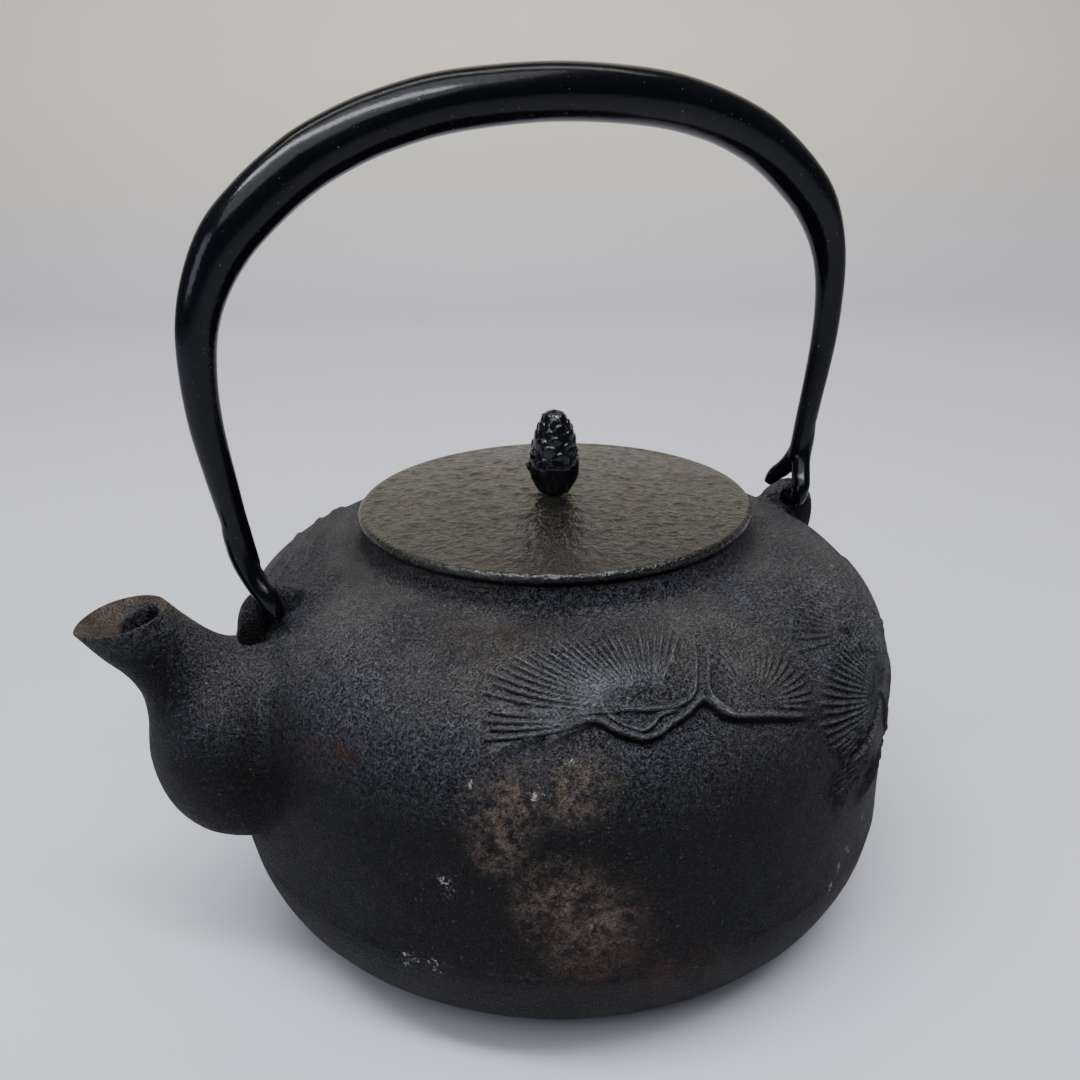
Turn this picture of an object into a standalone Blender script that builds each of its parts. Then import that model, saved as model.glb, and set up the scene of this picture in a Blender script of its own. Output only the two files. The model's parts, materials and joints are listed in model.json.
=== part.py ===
"""A Japanese cast iron kettle (tetsubin) with a round pine-relief body, a bulbous spout, a
flat lid with a pine cone knob, and a tall bail handle whose forked ends straddle two lugs.

Frame: metres, +Z up, origin at the centre of the flat base. The spout points along -X, and
the handle spans the X direction over the lid.
"""
import math

import bmesh
import bpy
import numpy as np
from mathutils import Vector

COLLECTION = "cast_iron_kettle"
CUTTERS = "cutters"

# Clearances
GAP = 0.0003              # between pieces that touch
MERGE = 0.00001           # welding distance

# Kettle body, as radii and heights of its outline
BODY_RADIUS = 0.090
WALL = 0.0035
SHOULDER_RUN = 0.034      # horizontal half axis of the shoulder's quarter ellipse
SHOULDER_RISE = 0.035     # vertical half axis of the same
SHOULDER_FOOT = 0.066     # height where the shoulder meets the straight wall
BASE_ROUND = 0.032        # radius of the curve between wall and base
COLLAR_TOP = 0.1075
COLLAR_RADIUS = 0.0515
COLLAR_FOOT_RADIUS = 0.052
COLLAR_FILLET = 0.0035
MOUTH_RADIUS = 0.0475

# Lid
LID_RADIUS = 0.0525
LID_EDGE_TOP = 0.1110
LID_CENTRE_TOP = 0.1130
LID_THICKNESS = 0.0032
LID_EDGE_ROUND = 0.0015
SPIGOT_RADIUS = 0.0462
SPIGOT_WALL = 0.0027
SPIGOT_BOTTOM = 0.0990
TANG_HOLE_RADIUS = 0.0023
LID_TOP_RING = 0.048      # radius of the dome's outermost modelled ring
LID_UNDER_RING = 0.022    # radius of the ring modelled half way across the underside

# Knob, its tang and the washer under the lid
KNOB_HEIGHT = 0.0221
KNOB_FOOT_RADIUS = 0.0046
KNOB_FOOT_TOP = 0.12      # share of the height where the straight foot ends
KNOB_ENVELOPE = [         # (share of the height, radius) of the cone around its scales
    (0.00, 0.0046), (0.12, 0.0046), (0.24, 0.0059), (0.38, 0.0066),
    (0.60, 0.0060), (0.80, 0.0044), (0.94, 0.0022),
]
KNOB_TIERS = 7
KNOB_FIRST_TIER = 0.16    # share of the height where the tiers of scales begin
KNOB_LAST_TIER = 0.94
KNOB_TIER_LIP = 0.015     # share of the height that each tier's lower edge rises
KNOB_TIER_DEPTH = 0.0004
TANG_RADIUS = 0.0018
TANG_SOCKET_DEPTH = 0.0080
TANG_HEAD_RADIUS = 0.0033
TANG_HEAD_HEIGHT = 0.0018
TANG_HEAD_START = -25     # degrees on the head's rounded side where its arc begins
WASHER_RADIUS = 0.0065
WASHER_THICKNESS = 0.0011

# Lugs: plates in the XZ plane with a hole along Y
LUG_THICKNESS = 0.0060
LUG_EDGE_ROUND = 0.0017
LUG_HOLE_X = 0.0783
LUG_HOLE_Z = 0.0980
LUG_HOLE_RADIUS = 0.0026
LUG_SHIFT = 0.0010        # both plates sit this much towards +X of their holes' symmetry
LUG_OUTLINE = [           # outer (x, z) points of the rear lug, from its inner foot outwards
    (0.0685, 0.0960), (0.0710, 0.1000), (0.0746, 0.1017), (0.0790, 0.1025),
    (0.0835, 0.1015), (0.0868, 0.0975), (0.0882, 0.0905), (0.0870, 0.0830),
]

# Handle, upright, with heights above the line through the lug holes
HANDLE_LEAN = 2.4         # degrees towards -Y at rest
HANDLE_LEG = [            # (x, height, radius) from the fork up to the crown
    (0.0826, 0.0105, 0.0027), (0.0848, 0.0225, 0.0031), (0.0868, 0.0350, 0.0034),
    (0.0884, 0.0470, 0.0037), (0.0887, 0.0580, 0.0040), (0.0877, 0.0680, 0.0045),
    (0.0848, 0.0770, 0.0052), (0.0798, 0.0855, 0.0060), (0.0734, 0.0921, 0.0063),
    (0.0651, 0.0986, 0.0064), (0.0565, 0.1036, 0.0065), (0.0434, 0.1087, 0.0065),
    (0.0260, 0.1125, 0.0066),
]
HANDLE_CROWN = (0.0, 0.1142, 0.0066)
NEAR_PRONG = [            # (x, y, height, radius), the prong that hooks into the lug
    (0.0852, -0.0003, 0.0180, 0.0025), (0.0840, -0.0008, 0.0130, 0.0027),
    (0.0828, -0.0020, 0.0095, 0.0027), (0.0817, -0.0038, 0.0068, 0.0026),
    (0.0806, -0.0055, 0.0048, 0.0025), (0.0797, -0.0064, 0.0028, 0.0023),
    (0.0789, -0.0067, 0.0008, 0.0020), (0.0786, -0.0067, -0.0006, 0.0017),
]
FAR_PRONG = [             # the short prong that only rests behind the lug
    (0.0846, 0.0003, 0.0180, 0.0025), (0.0835, 0.0008, 0.0130, 0.0026),
    (0.0824, 0.0020, 0.0095, 0.0025), (0.0813, 0.0037, 0.0068, 0.0024),
    (0.0803, 0.0054, 0.0048, 0.0023), (0.0795, 0.0063, 0.0030, 0.0021),
    (0.0791, 0.0067, 0.0012, 0.0019),
]
PIN_RADIUS = 0.0017
PIN_START_Y = -0.0070
PIN_END_Y = 0.0012

# Spout sections: rear point and front point in the XZ plane, and half width along Y
SPOUT_SECTIONS = [
    (-0.1022, 0.1035, -0.1232, 0.1005, 0.0098),
    (-0.0990, 0.0997, -0.1187, 0.0935, 0.0096),
    (-0.0952, 0.0955, -0.1138, 0.0875, 0.0100),
    (-0.0912, 0.0918, -0.1110, 0.0810, 0.0116),
    (-0.0875, 0.0895, -0.1107, 0.0730, 0.0145),
    (-0.0845, 0.0890, -0.1116, 0.0635, 0.0175),
    (-0.0820, 0.0880, -0.1095, 0.0530, 0.0195),
    (-0.0800, 0.0860, -0.1032, 0.0437, 0.0203),
    (-0.0785, 0.0835, -0.0940, 0.0384, 0.0204),
    (-0.0770, 0.0810, -0.0840, 0.0370, 0.0200),
]
BORE_SECTIONS = [
    (-0.1044, 0.1056, -0.1212, 0.1032, 0.0080),
    (-0.1040, 0.1020, -0.1200, 0.0995, 0.0076),
    (-0.1022, 0.0990, -0.1140, 0.0955, 0.0060),
    (-0.0992, 0.0945, -0.1100, 0.0890, 0.0058),
    (-0.0955, 0.0900, -0.1068, 0.0820, 0.0064),
    (-0.0915, 0.0860, -0.1055, 0.0720, 0.0085),
    (-0.0885, 0.0830, -0.1035, 0.0600, 0.0105),
    (-0.0860, 0.0800, -0.0950, 0.0510, 0.0110),
    (-0.0835, 0.0780, -0.0850, 0.0490, 0.0108),
    (-0.0780, 0.0770, -0.0780, 0.0485, 0.0105),
]

# Mesh resolution
BODY_STEPS = 56
SMALL_STEPS = 24
SPOUT_SIDES = 24
PATH_PARTS = 2            # points made from each key point of a bar or a loft
LUG_PATH_PARTS = 3
LID_TOP_POINTS = 6
FILLET_POINTS = 4
SHOULDER_POINTS = 11
BASE_POINTS = 8
LINING_SHOULDER_POINTS = 7
LINING_BASE_POINTS = 6
LID_EDGE_POINTS = 5
TANG_HEAD_POINTS = 4
HANDLE_RESOLUTION = 4
PRONG_RESOLUTION = 3
LUG_RESOLUTION = 1
SHARP_ANGLE = 35          # degrees between faces that stay a crisp edge


def clear_scene():
    """Remove every object, so that the model starts from an empty scene."""
    for obj in list(bpy.data.objects):
        bpy.data.objects.remove(obj, do_unlink=True)


def make_collection(name):
    """A new collection under the scene's own."""
    collection = bpy.data.collections.new(name)
    bpy.context.scene.collection.children.link(collection)
    return collection


def make_material(name, colour, roughness, metallic):
    """A Principled BSDF material."""
    material = bpy.data.materials.new(name)
    material.use_nodes = True
    shader = material.node_tree.nodes["Principled BSDF"]
    shader.inputs["Base Color"].default_value = (*colour, 1.0)
    shader.inputs["Roughness"].default_value = roughness
    shader.inputs["Metallic"].default_value = metallic
    material.diffuse_color = (*colour, 1.0)
    return material


def add_object(name, mesh, collection, material=None):
    """Link a mesh as an object, smooth shaded with sharp edges kept."""
    obj = bpy.data.objects.new(name, mesh)
    collection.objects.link(obj)
    if material is not None:
        mesh.materials.append(material)
    if mesh.polygons:
        mesh.shade_smooth()
        mesh.set_sharp_from_angle(angle=math.radians(SHARP_ANGLE))
    return obj


def hide_cutter(obj):
    """Show a cutter as wire and keep it out of renders."""
    obj.hide_render = True
    obj.display_type = "WIRE"
    return obj


def boolean(obj, other, operation):
    """Cut, join or intersect one object with another."""
    modifier = obj.modifiers.new(operation.title(), "BOOLEAN")
    modifier.operation = operation
    modifier.solver = "EXACT"
    modifier.object = other


def arc(centre_r, centre_z, half_r, half_z, start, end, count):
    """Points (radius, height) along an elliptical arc, with angles in degrees."""
    angles = np.radians(np.linspace(start, end, count))
    return [(centre_r + half_r * math.cos(a), centre_z + half_z * math.sin(a)) for a in angles]


def smooth_path(keys, parts):
    """A Catmull-Rom curve through the keys, each a tuple of any length."""
    rows = np.array(keys, dtype=float)
    rows = np.vstack([2 * rows[0] - rows[1], rows, 2 * rows[-1] - rows[-2]])
    points = []
    for i in range(1, len(rows) - 2):
        before, here, after, beyond = rows[i - 1:i + 3]
        for t in np.arange(parts) / parts:
            points.append(0.5 * (2 * here + (after - before) * t
                                 + (2 * before - 5 * here + 4 * after - beyond) * t ** 2
                                 + (3 * here - before - 3 * after + beyond) * t ** 3))
    points.append(rows[-2])
    return np.array(points)


def turned(name, profile, collection, material=None, steps=SMALL_STEPS, ring=False):
    """Turn a profile of (radius, height) points about Z. A ring's profile closes on itself."""
    edges = [(i, i + 1) for i in range(len(profile) - 1)]
    if ring:
        edges.append((len(profile) - 1, 0))
    mesh = bpy.data.meshes.new(name)
    mesh.from_pydata([(r, 0.0, z) for r, z in profile], edges, [])
    obj = add_object(name, mesh, collection, material)
    screw = obj.modifiers.new("Turn", "SCREW")
    screw.steps = steps
    screw.render_steps = steps
    screw.use_smooth_shade = True
    screw.use_merge_vertices = True
    screw.merge_threshold = MERGE
    return obj


def loft(name, sections, collection, material=None):
    """A closed solid through oval sections, each square to the XZ plane."""
    angles = np.arange(SPOUT_SIDES) * math.tau / SPOUT_SIDES
    mesh = bpy.data.meshes.new(name)
    work = bmesh.new()
    rings = []
    for rear_x, rear_z, front_x, front_z, half_width in sections:
        rear = Vector((rear_x, 0.0, rear_z))
        front = Vector((front_x, 0.0, front_z))
        centre = (rear + front) / 2
        half = (front - rear) / 2
        side = Vector((0.0, half_width, 0.0))
        rings.append([work.verts.new(centre + half * math.cos(a) + side * math.sin(a))
                      for a in angles])
    for lower, upper in zip(rings, rings[1:]):
        for i in range(SPOUT_SIDES):
            j = (i + 1) % SPOUT_SIDES
            work.faces.new((lower[i], lower[j], upper[j], upper[i]))
    work.faces.new(rings[0])
    work.faces.new(rings[-1])
    bmesh.ops.recalc_face_normals(work, faces=work.faces)
    work.to_mesh(mesh)
    work.free()
    return add_object(name, mesh, collection, material)


def curve_to_mesh(curve_object, collection, material=None):
    """Replace a curve object by a welded mesh object of the same name and place."""
    bpy.context.view_layer.update()
    evaluated = curve_object.evaluated_get(bpy.context.evaluated_depsgraph_get())
    mesh = bpy.data.meshes.new_from_object(evaluated)
    work = bmesh.new()
    work.from_mesh(mesh)
    bmesh.ops.remove_doubles(work, verts=work.verts, dist=MERGE)
    bmesh.ops.recalc_face_normals(work, faces=work.faces)
    work.to_mesh(mesh)
    work.free()
    name = curve_object.name
    matrix = curve_object.matrix_world.copy()
    bpy.data.objects.remove(curve_object, do_unlink=True)
    mesh.materials.clear()
    obj = add_object(name, mesh, collection, material)
    obj.matrix_world = matrix
    return obj


def rod(name, path, collection, material=None, resolution=PRONG_RESOLUTION):
    """A round bar of changing radius through (x, y, z, radius) points, with flat ends."""
    curve = bpy.data.curves.new(name, "CURVE")
    curve.dimensions = "3D"
    curve.bevel_depth = 1.0
    curve.bevel_resolution = resolution
    curve.use_fill_caps = True
    spline = curve.splines.new("POLY")
    spline.points.add(len(path) - 1)
    for point, (x, y, z, radius) in zip(spline.points, path):
        point.co = (x, y, z, 1.0)
        point.radius = radius
    obj = bpy.data.objects.new(name, curve)
    collection.objects.link(obj)
    return curve_to_mesh(obj, collection, material)


def lug_plate(name, side, collection, material=None, grow=0.0):
    """A lug's plate in the XZ plane with rounded edges, made larger all round by grow."""
    curve = bpy.data.curves.new(name, "CURVE")
    curve.dimensions = "2D"
    curve.fill_mode = "BOTH"
    curve.extrude = LUG_THICKNESS / 2 - LUG_EDGE_ROUND + grow
    curve.bevel_depth = LUG_EDGE_ROUND
    curve.bevel_resolution = LUG_RESOLUTION
    curve.offset = grow - LUG_EDGE_ROUND
    outline = smooth_path(LUG_OUTLINE, LUG_PATH_PARTS)[::side]
    spline = curve.splines.new("POLY")
    spline.points.add(len(outline) - 1)
    for point, (x, z) in zip(spline.points, outline):
        point.co = (side * x + LUG_SHIFT, z, 0.0, 1.0)
    spline.use_cyclic_u = True
    obj = bpy.data.objects.new(name, curve)
    collection.objects.link(obj)
    obj.rotation_euler = (math.radians(90), 0.0, 0.0)
    return curve_to_mesh(obj, collection, material)


def body_outline(offset):
    """The kettle's outer outline from collar to base centre, moved out by an offset."""
    fillet_r = COLLAR_FOOT_RADIUS + COLLAR_FILLET
    fillet_z = SHOULDER_FOOT + SHOULDER_RISE + COLLAR_FILLET
    shoulder_r = BODY_RADIUS - SHOULDER_RUN
    base_r = BODY_RADIUS - BASE_ROUND
    return (
        [(COLLAR_RADIUS + offset, COLLAR_TOP)]
        + arc(fillet_r, fillet_z, COLLAR_FILLET - offset, COLLAR_FILLET - offset,
              180, 270, FILLET_POINTS)
        + arc(shoulder_r, SHOULDER_FOOT, SHOULDER_RUN + offset, SHOULDER_RISE + offset,
              90, 0, SHOULDER_POINTS)
        + arc(base_r, BASE_ROUND, BASE_ROUND + offset, BASE_ROUND + offset, 0, -90, BASE_POINTS)
        + [(0.0, -offset)]
    )


def body_lining():
    """The kettle's inner outline from the floor's centre up to the mouth's inner edge."""
    shoulder_r = BODY_RADIUS - SHOULDER_RUN
    base_r = BODY_RADIUS - BASE_ROUND
    neck_z = SHOULDER_FOOT + SHOULDER_RISE - WALL
    return (
        [(0.0, WALL)]
        + arc(base_r, BASE_ROUND, BASE_ROUND - WALL, BASE_ROUND - WALL,
              -90, 0, LINING_BASE_POINTS)
        + arc(shoulder_r, SHOULDER_FOOT, SHOULDER_RUN - WALL, SHOULDER_RISE - WALL,
              0, 90, LINING_SHOULDER_POINTS)
        + [(MOUTH_RADIUS, neck_z), (MOUTH_RADIUS, COLLAR_TOP)]
    )


def make_kettle_body(parts, iron, bore):
    """The hollow pot: turned outline and lining, pierced where the spout opens into it."""
    body = turned("kettle_body", body_lining() + body_outline(0.0), parts, iron, BODY_STEPS)
    boolean(body, bore, "DIFFERENCE")
    return body


def make_spout(parts, cutters, iron, bore, clearance):
    """The bulbous pouring spout, hollow, ending a hair off the pot's wall and the lug."""
    spout = loft("spout", smooth_path(SPOUT_SECTIONS, PATH_PARTS), parts, iron)
    lug_room = hide_cutter(lug_plate("lug_room", -1, cutters, grow=GAP))
    boolean(spout, clearance, "DIFFERENCE")
    boolean(spout, lug_room, "DIFFERENCE")
    boolean(spout, bore, "DIFFERENCE")
    return spout


def make_lug(name, side, parts, cutters, iron, clearance):
    """One handle lug, a rounded plate standing on the shoulder with a hole for the handle."""
    lug = lug_plate(name, side, parts, iron)
    bpy.ops.mesh.primitive_cylinder_add(
        vertices=SMALL_STEPS, radius=LUG_HOLE_RADIUS, depth=2 * LUG_THICKNESS,
        location=(side * LUG_HOLE_X, 0.0, LUG_HOLE_Z), rotation=(math.radians(90), 0.0, 0.0))
    drill = bpy.context.object
    drill.name = name + "_drill"
    for collection in list(drill.users_collection):
        collection.objects.unlink(drill)
    cutters.objects.link(hide_cutter(drill))
    boolean(lug, clearance, "DIFFERENCE")
    boolean(lug, drill, "DIFFERENCE")
    return lug


def lid_height(radius):
    """Height of the lid's gently domed top at a radius."""
    share = radius / (LID_RADIUS - LID_EDGE_ROUND)
    return LID_CENTRE_TOP - (LID_CENTRE_TOP - LID_EDGE_TOP) * share ** 2


def make_lid(parts, lacquer):
    """The flat disc lid: domed top, rounded edge, and a spigot that drops into the mouth."""
    top_rings = np.linspace(TANG_HOLE_RADIUS, LID_TOP_RING, LID_TOP_POINTS)
    edge_r = LID_RADIUS - LID_EDGE_ROUND
    edge_z = LID_EDGE_TOP - LID_EDGE_ROUND
    seat_z = COLLAR_TOP + GAP
    spigot_inner = SPIGOT_RADIUS - SPIGOT_WALL
    under_rings = (spigot_inner, LID_UNDER_RING, TANG_HOLE_RADIUS)
    profile = (
        [(r, lid_height(r)) for r in top_rings]
        + arc(edge_r, edge_z, LID_EDGE_ROUND, LID_EDGE_ROUND, 90, -20, LID_EDGE_POINTS)
        + [(edge_r, seat_z), (SPIGOT_RADIUS, seat_z), (SPIGOT_RADIUS, SPIGOT_BOTTOM),
           (spigot_inner, SPIGOT_BOTTOM)]
        + [(r, lid_height(r) - LID_THICKNESS) for r in under_rings]
    )
    return turned("lid", profile, parts, lacquer, BODY_STEPS, ring=True)


def make_washer(parts, iron):
    """The flat washer between the lid's underside and the tang's peened head."""
    top = lid_height(0.0) - LID_THICKNESS - GAP
    bottom = top - WASHER_THICKNESS
    profile = [(TANG_HOLE_RADIUS, top), (WASHER_RADIUS, top), (WASHER_RADIUS, bottom),
               (TANG_HOLE_RADIUS, bottom)]
    return turned("under_lid_washer", profile, parts, iron, ring=True)


def make_knob(parts, lacquer):
    """The pine cone knob: an ogive turned in overlapping tiers, with a socket in its foot."""
    foot_z = LID_CENTRE_TOP + GAP
    shares, radii = zip(*KNOB_ENVELOPE)
    share = np.linspace(KNOB_FIRST_TIER, KNOB_LAST_TIER, KNOB_TIERS + 1)
    radius = np.interp(share, shares, radii)
    outer = [(0.0, foot_z + KNOB_HEIGHT)]
    for i in reversed(range(KNOB_TIERS)):
        lip = share[i] + KNOB_TIER_LIP
        outer.append((radius[i + 1] - KNOB_TIER_DEPTH, foot_z + KNOB_HEIGHT * share[i + 1]))
        outer.append((radius[i] + KNOB_TIER_DEPTH, foot_z + KNOB_HEIGHT * lip))
    socket_r = TANG_RADIUS + GAP
    socket_z = foot_z + TANG_SOCKET_DEPTH
    profile = outer + [(KNOB_FOOT_RADIUS, foot_z + KNOB_HEIGHT * KNOB_FOOT_TOP),
                       (KNOB_FOOT_RADIUS, foot_z), (socket_r, foot_z),
                       (socket_r, socket_z), (0.0, socket_z)]
    return turned("pine_cone_knob", profile, parts, lacquer)


def make_tang(parts, iron):
    """The pin that holds the knob: its shank passes the lid and its end is peened over."""
    top = LID_CENTRE_TOP + TANG_SOCKET_DEPTH
    head_top = lid_height(0.0) - LID_THICKNESS - WASHER_THICKNESS - 2 * GAP
    profile = ([(0.0, top), (TANG_RADIUS, top), (TANG_RADIUS, head_top)]
               + [(TANG_HEAD_RADIUS, head_top)]
               + arc(0.0, head_top, TANG_HEAD_RADIUS, TANG_HEAD_HEIGHT,
                     TANG_HEAD_START, -90, TANG_HEAD_POINTS))
    return turned("knob_tang", profile, parts, iron)


def make_handle(parts, cutters, lacquer):
    """The bail: one tapering bar, forked at both feet, hung on an empty at its hinge line."""
    right = [(x, 0.0, z, r) for x, z, r in HANDLE_LEG]
    left = [(-x, 0.0, z, r) for x, z, r in reversed(HANDLE_LEG)]
    crown_x, crown_z, crown_r = HANDLE_CROWN
    path = smooth_path(right + [(crown_x, 0.0, crown_z, crown_r)] + left, PATH_PARTS)
    handle = rod("handle", path, parts, lacquer, HANDLE_RESOLUTION)
    pieces = []
    for side, label in ((-1, "front"), (1, "rear")):
        for prong, keys in (("near", NEAR_PRONG), ("far", FAR_PRONG)):
            keys = [(side * x, y, z, r) for x, y, z, r in keys]
            path = smooth_path(keys, PATH_PARTS)
            pieces.append(rod(f"{prong}_prong_{label}", path, cutters))
        pin_x = side * LUG_HOLE_X
        pin = [(pin_x, PIN_START_Y, 0.0, PIN_RADIUS), (pin_x, PIN_END_Y, 0.0, PIN_RADIUS)]
        pieces.append(rod(f"hook_pin_{label}", pin, cutters))
    pivot = bpy.data.objects.new("handle_pivot", None)
    parts.objects.link(pivot)
    pivot.location = (0.0, 0.0, LUG_HOLE_Z)
    pivot.rotation_euler = (math.radians(HANDLE_LEAN), 0.0, 0.0)
    handle.parent = pivot
    for piece in pieces:
        piece.parent = pivot
        hide_cutter(piece)
        boolean(handle, piece, "UNION")
    return handle


def main():
    """Build the kettle."""
    clear_scene()
    parts = make_collection(COLLECTION)
    cutters = make_collection(CUTTERS)
    body_iron = make_material("body_iron", (0.030, 0.027, 0.025), 0.75, 0.4)
    spout_iron = make_material("spout_iron", (0.028, 0.026, 0.027), 0.7, 0.4)
    lug_iron = make_material("lug_iron", (0.018, 0.017, 0.019), 0.65, 0.4)
    lid_lacquer = make_material("lid_lacquer", (0.020, 0.020, 0.017), 0.35, 0.3)
    knob_lacquer = make_material("knob_lacquer", (0.006, 0.006, 0.008), 0.12, 0.2)
    handle_lacquer = make_material("handle_lacquer", (0.008, 0.009, 0.011), 0.25, 0.2)
    tang_iron = make_material("tang_iron", (0.05, 0.04, 0.035), 0.6, 0.7)

    clearance = hide_cutter(turned("body_clearance", body_outline(GAP), cutters,
                                   steps=BODY_STEPS))
    bore = hide_cutter(loft("spout_bore", smooth_path(BORE_SECTIONS, PATH_PARTS), cutters))

    make_kettle_body(parts, body_iron, bore)
    make_spout(parts, cutters, spout_iron, bore, clearance)
    make_lug("lug_front", -1, parts, cutters, lug_iron, clearance)
    make_lug("lug_rear", 1, parts, cutters, lug_iron, clearance)
    make_lid(parts, lid_lacquer)
    make_washer(parts, tang_iron)
    make_knob(parts, knob_lacquer)
    make_tang(parts, tang_iron)
    make_handle(parts, cutters, handle_lacquer)


main()
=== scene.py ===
"""The look of a cast iron kettle (tetsubin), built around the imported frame.

The pot, spout and lugs are cast iron with a sand grain and pine branches in low relief. The
lid, the pine cone knob and the forked bail handle are lacquered. Everything is in metres, with
+Z up, the spout towards -X and the kettle standing on z = 0.
"""
import itertools
import json
import math

import bmesh
import bpy
import numpy as np
from mathutils import Matrix, Vector


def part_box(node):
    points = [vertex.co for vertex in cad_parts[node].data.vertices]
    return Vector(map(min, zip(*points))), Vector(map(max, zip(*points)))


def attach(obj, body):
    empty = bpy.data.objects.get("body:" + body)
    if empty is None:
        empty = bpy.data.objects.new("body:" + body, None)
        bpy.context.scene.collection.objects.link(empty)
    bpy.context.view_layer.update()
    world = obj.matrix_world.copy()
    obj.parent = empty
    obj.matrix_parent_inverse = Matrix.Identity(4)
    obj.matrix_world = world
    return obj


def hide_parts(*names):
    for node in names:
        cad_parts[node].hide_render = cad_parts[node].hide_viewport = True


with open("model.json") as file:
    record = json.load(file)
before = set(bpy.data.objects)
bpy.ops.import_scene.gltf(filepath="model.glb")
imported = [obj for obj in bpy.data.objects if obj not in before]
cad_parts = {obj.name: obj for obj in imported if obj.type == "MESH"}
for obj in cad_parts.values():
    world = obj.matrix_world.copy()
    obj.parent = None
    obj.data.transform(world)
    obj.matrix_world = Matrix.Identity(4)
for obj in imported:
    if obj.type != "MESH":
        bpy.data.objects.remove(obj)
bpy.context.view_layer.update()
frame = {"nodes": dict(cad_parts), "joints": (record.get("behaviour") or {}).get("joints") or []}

# Places and sizes that the frame gives
joints = {joint["name"]: joint for joint in frame["joints"]}
BODY_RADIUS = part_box("kettle_body")[1].x
COLLAR_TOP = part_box("kettle_body")[1].z
LID_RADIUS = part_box("lid")[1].x
LID_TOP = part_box("lid")[1].z
SPIGOT_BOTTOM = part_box("lid")[0].z
KNOB_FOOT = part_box("pine_cone_knob")[0].z
KNOB_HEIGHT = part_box("pine_cone_knob")[1].z - KNOB_FOOT
HINGE_HEIGHT = joints["handle_swing"]["pos_m"][2]
HINGE_AXIS = Vector(joints["handle_swing"]["axis"])

# The pot's outline
WALL = 0.0035
SHOULDER_RUN = 0.034
SHOULDER_RISE = 0.035
SHOULDER_FOOT = 0.066
BASE_ROUND = 0.032
COLLAR_RADIUS = 0.0515
COLLAR_FOOT_RADIUS = 0.052
COLLAR_FILLET = 0.0035
MOUTH_RADIUS = 0.0475
RIM_ROUND = 0.0007
PARTING_HEIGHT = 0.0305   # the seam of the casting mould round the lower body
POT_COLUMNS = 216
POT_STEP = 0.0025

# Lid
LID_FALL = 0.0020         # how much lower the dome is at its edge
LID_EDGE_ROUND = 0.0015
LID_THICKNESS = 0.0032
LID_SEAT = COLLAR_TOP + 0.0003
SPIGOT_RADIUS = 0.0462
SPIGOT_WALL = 0.0027
TANG_HOLE_RADIUS = 0.0023
LID_COLUMNS = 288
LID_STEP = 0.00055

# Knob: (share of the height, radius) of the cone around its scales
KNOB_ENVELOPE = [
    (0.000, 0.0043), (0.030, 0.0047), (0.070, 0.0052), (0.143, 0.0060), (0.214, 0.0065),
    (0.310, 0.0067), (0.430, 0.0064), (0.607, 0.0057), (0.786, 0.0045), (0.893, 0.0033),
    (0.964, 0.0020), (1.000, 0.0),
]
KNOB_SCALES = 48
SCALE_RISE = 0.0009        # how far a scale's tip stands off the cone
SCALE_BLEND = 0.00007      # how softly the lacquer fills the steps between scales
KNOB_COLUMNS = 264
KNOB_STEP = 0.00013
KNOB_LEAN = 0.0003         # how far the tip of the cone bends aside
SPUR_AZIMUTH = math.radians(158)
SPUR_RISE = 0.31           # a broken scale that stands out, as a share of the height
SPUR_SIZE = 0.0012
GOLDEN_ANGLE = math.pi * (3 - math.sqrt(5))

# Lugs: (x, z) points of the rear lug's outline, from its inner foot to its outer foot
LUG_OUTLINE = [
    (0.0685, 0.0960), (0.0710, 0.1000), (0.0746, 0.1017), (0.0790, 0.1025),
    (0.0835, 0.1015), (0.0868, 0.0975), (0.0882, 0.0905), (0.0870, 0.0830),
]
LUG_HALF = 0.0030
LUG_SHIFT = 0.0010
LUG_HOLE_X = 0.0783
LUG_HOLE_RADIUS = 0.0026
LUG_SIDES = 64
LUG_FILLET = 0.0026
LUG_SQUARENESS = 0.62      # below 1 a lug's sections are nearer to a rounded box than an oval

# Spout: rear point and front point of each section in the XZ plane, and its half width
SPOUT_SECTIONS = [
    (-0.1022, 0.1035, -0.1232, 0.1005, 0.0098),
    (-0.0990, 0.0997, -0.1187, 0.0935, 0.0096),
    (-0.0952, 0.0955, -0.1138, 0.0875, 0.0100),
    (-0.0912, 0.0918, -0.1110, 0.0810, 0.0116),
    (-0.0875, 0.0895, -0.1107, 0.0730, 0.0145),
    (-0.0845, 0.0890, -0.1116, 0.0635, 0.0175),
    (-0.0820, 0.0880, -0.1095, 0.0530, 0.0195),
    (-0.0800, 0.0860, -0.1032, 0.0437, 0.0203),
    (-0.0785, 0.0835, -0.0940, 0.0384, 0.0204),
    (-0.0770, 0.0810, -0.0840, 0.0370, 0.0200),
]
SCOOP_SECTIONS = [        # from inside the lip, across the scooped mouth, to the bore's edge
    (-0.1029, 0.1036, -0.1222, 0.1008, 0.0088),
    (-0.1034, 0.1031, -0.1210, 0.1002, 0.0078),
    (-0.1040, 0.1025, -0.1172, 0.0997, 0.0065),
    (-0.1044, 0.1020, -0.1140, 0.0992, 0.0055),
]
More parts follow.
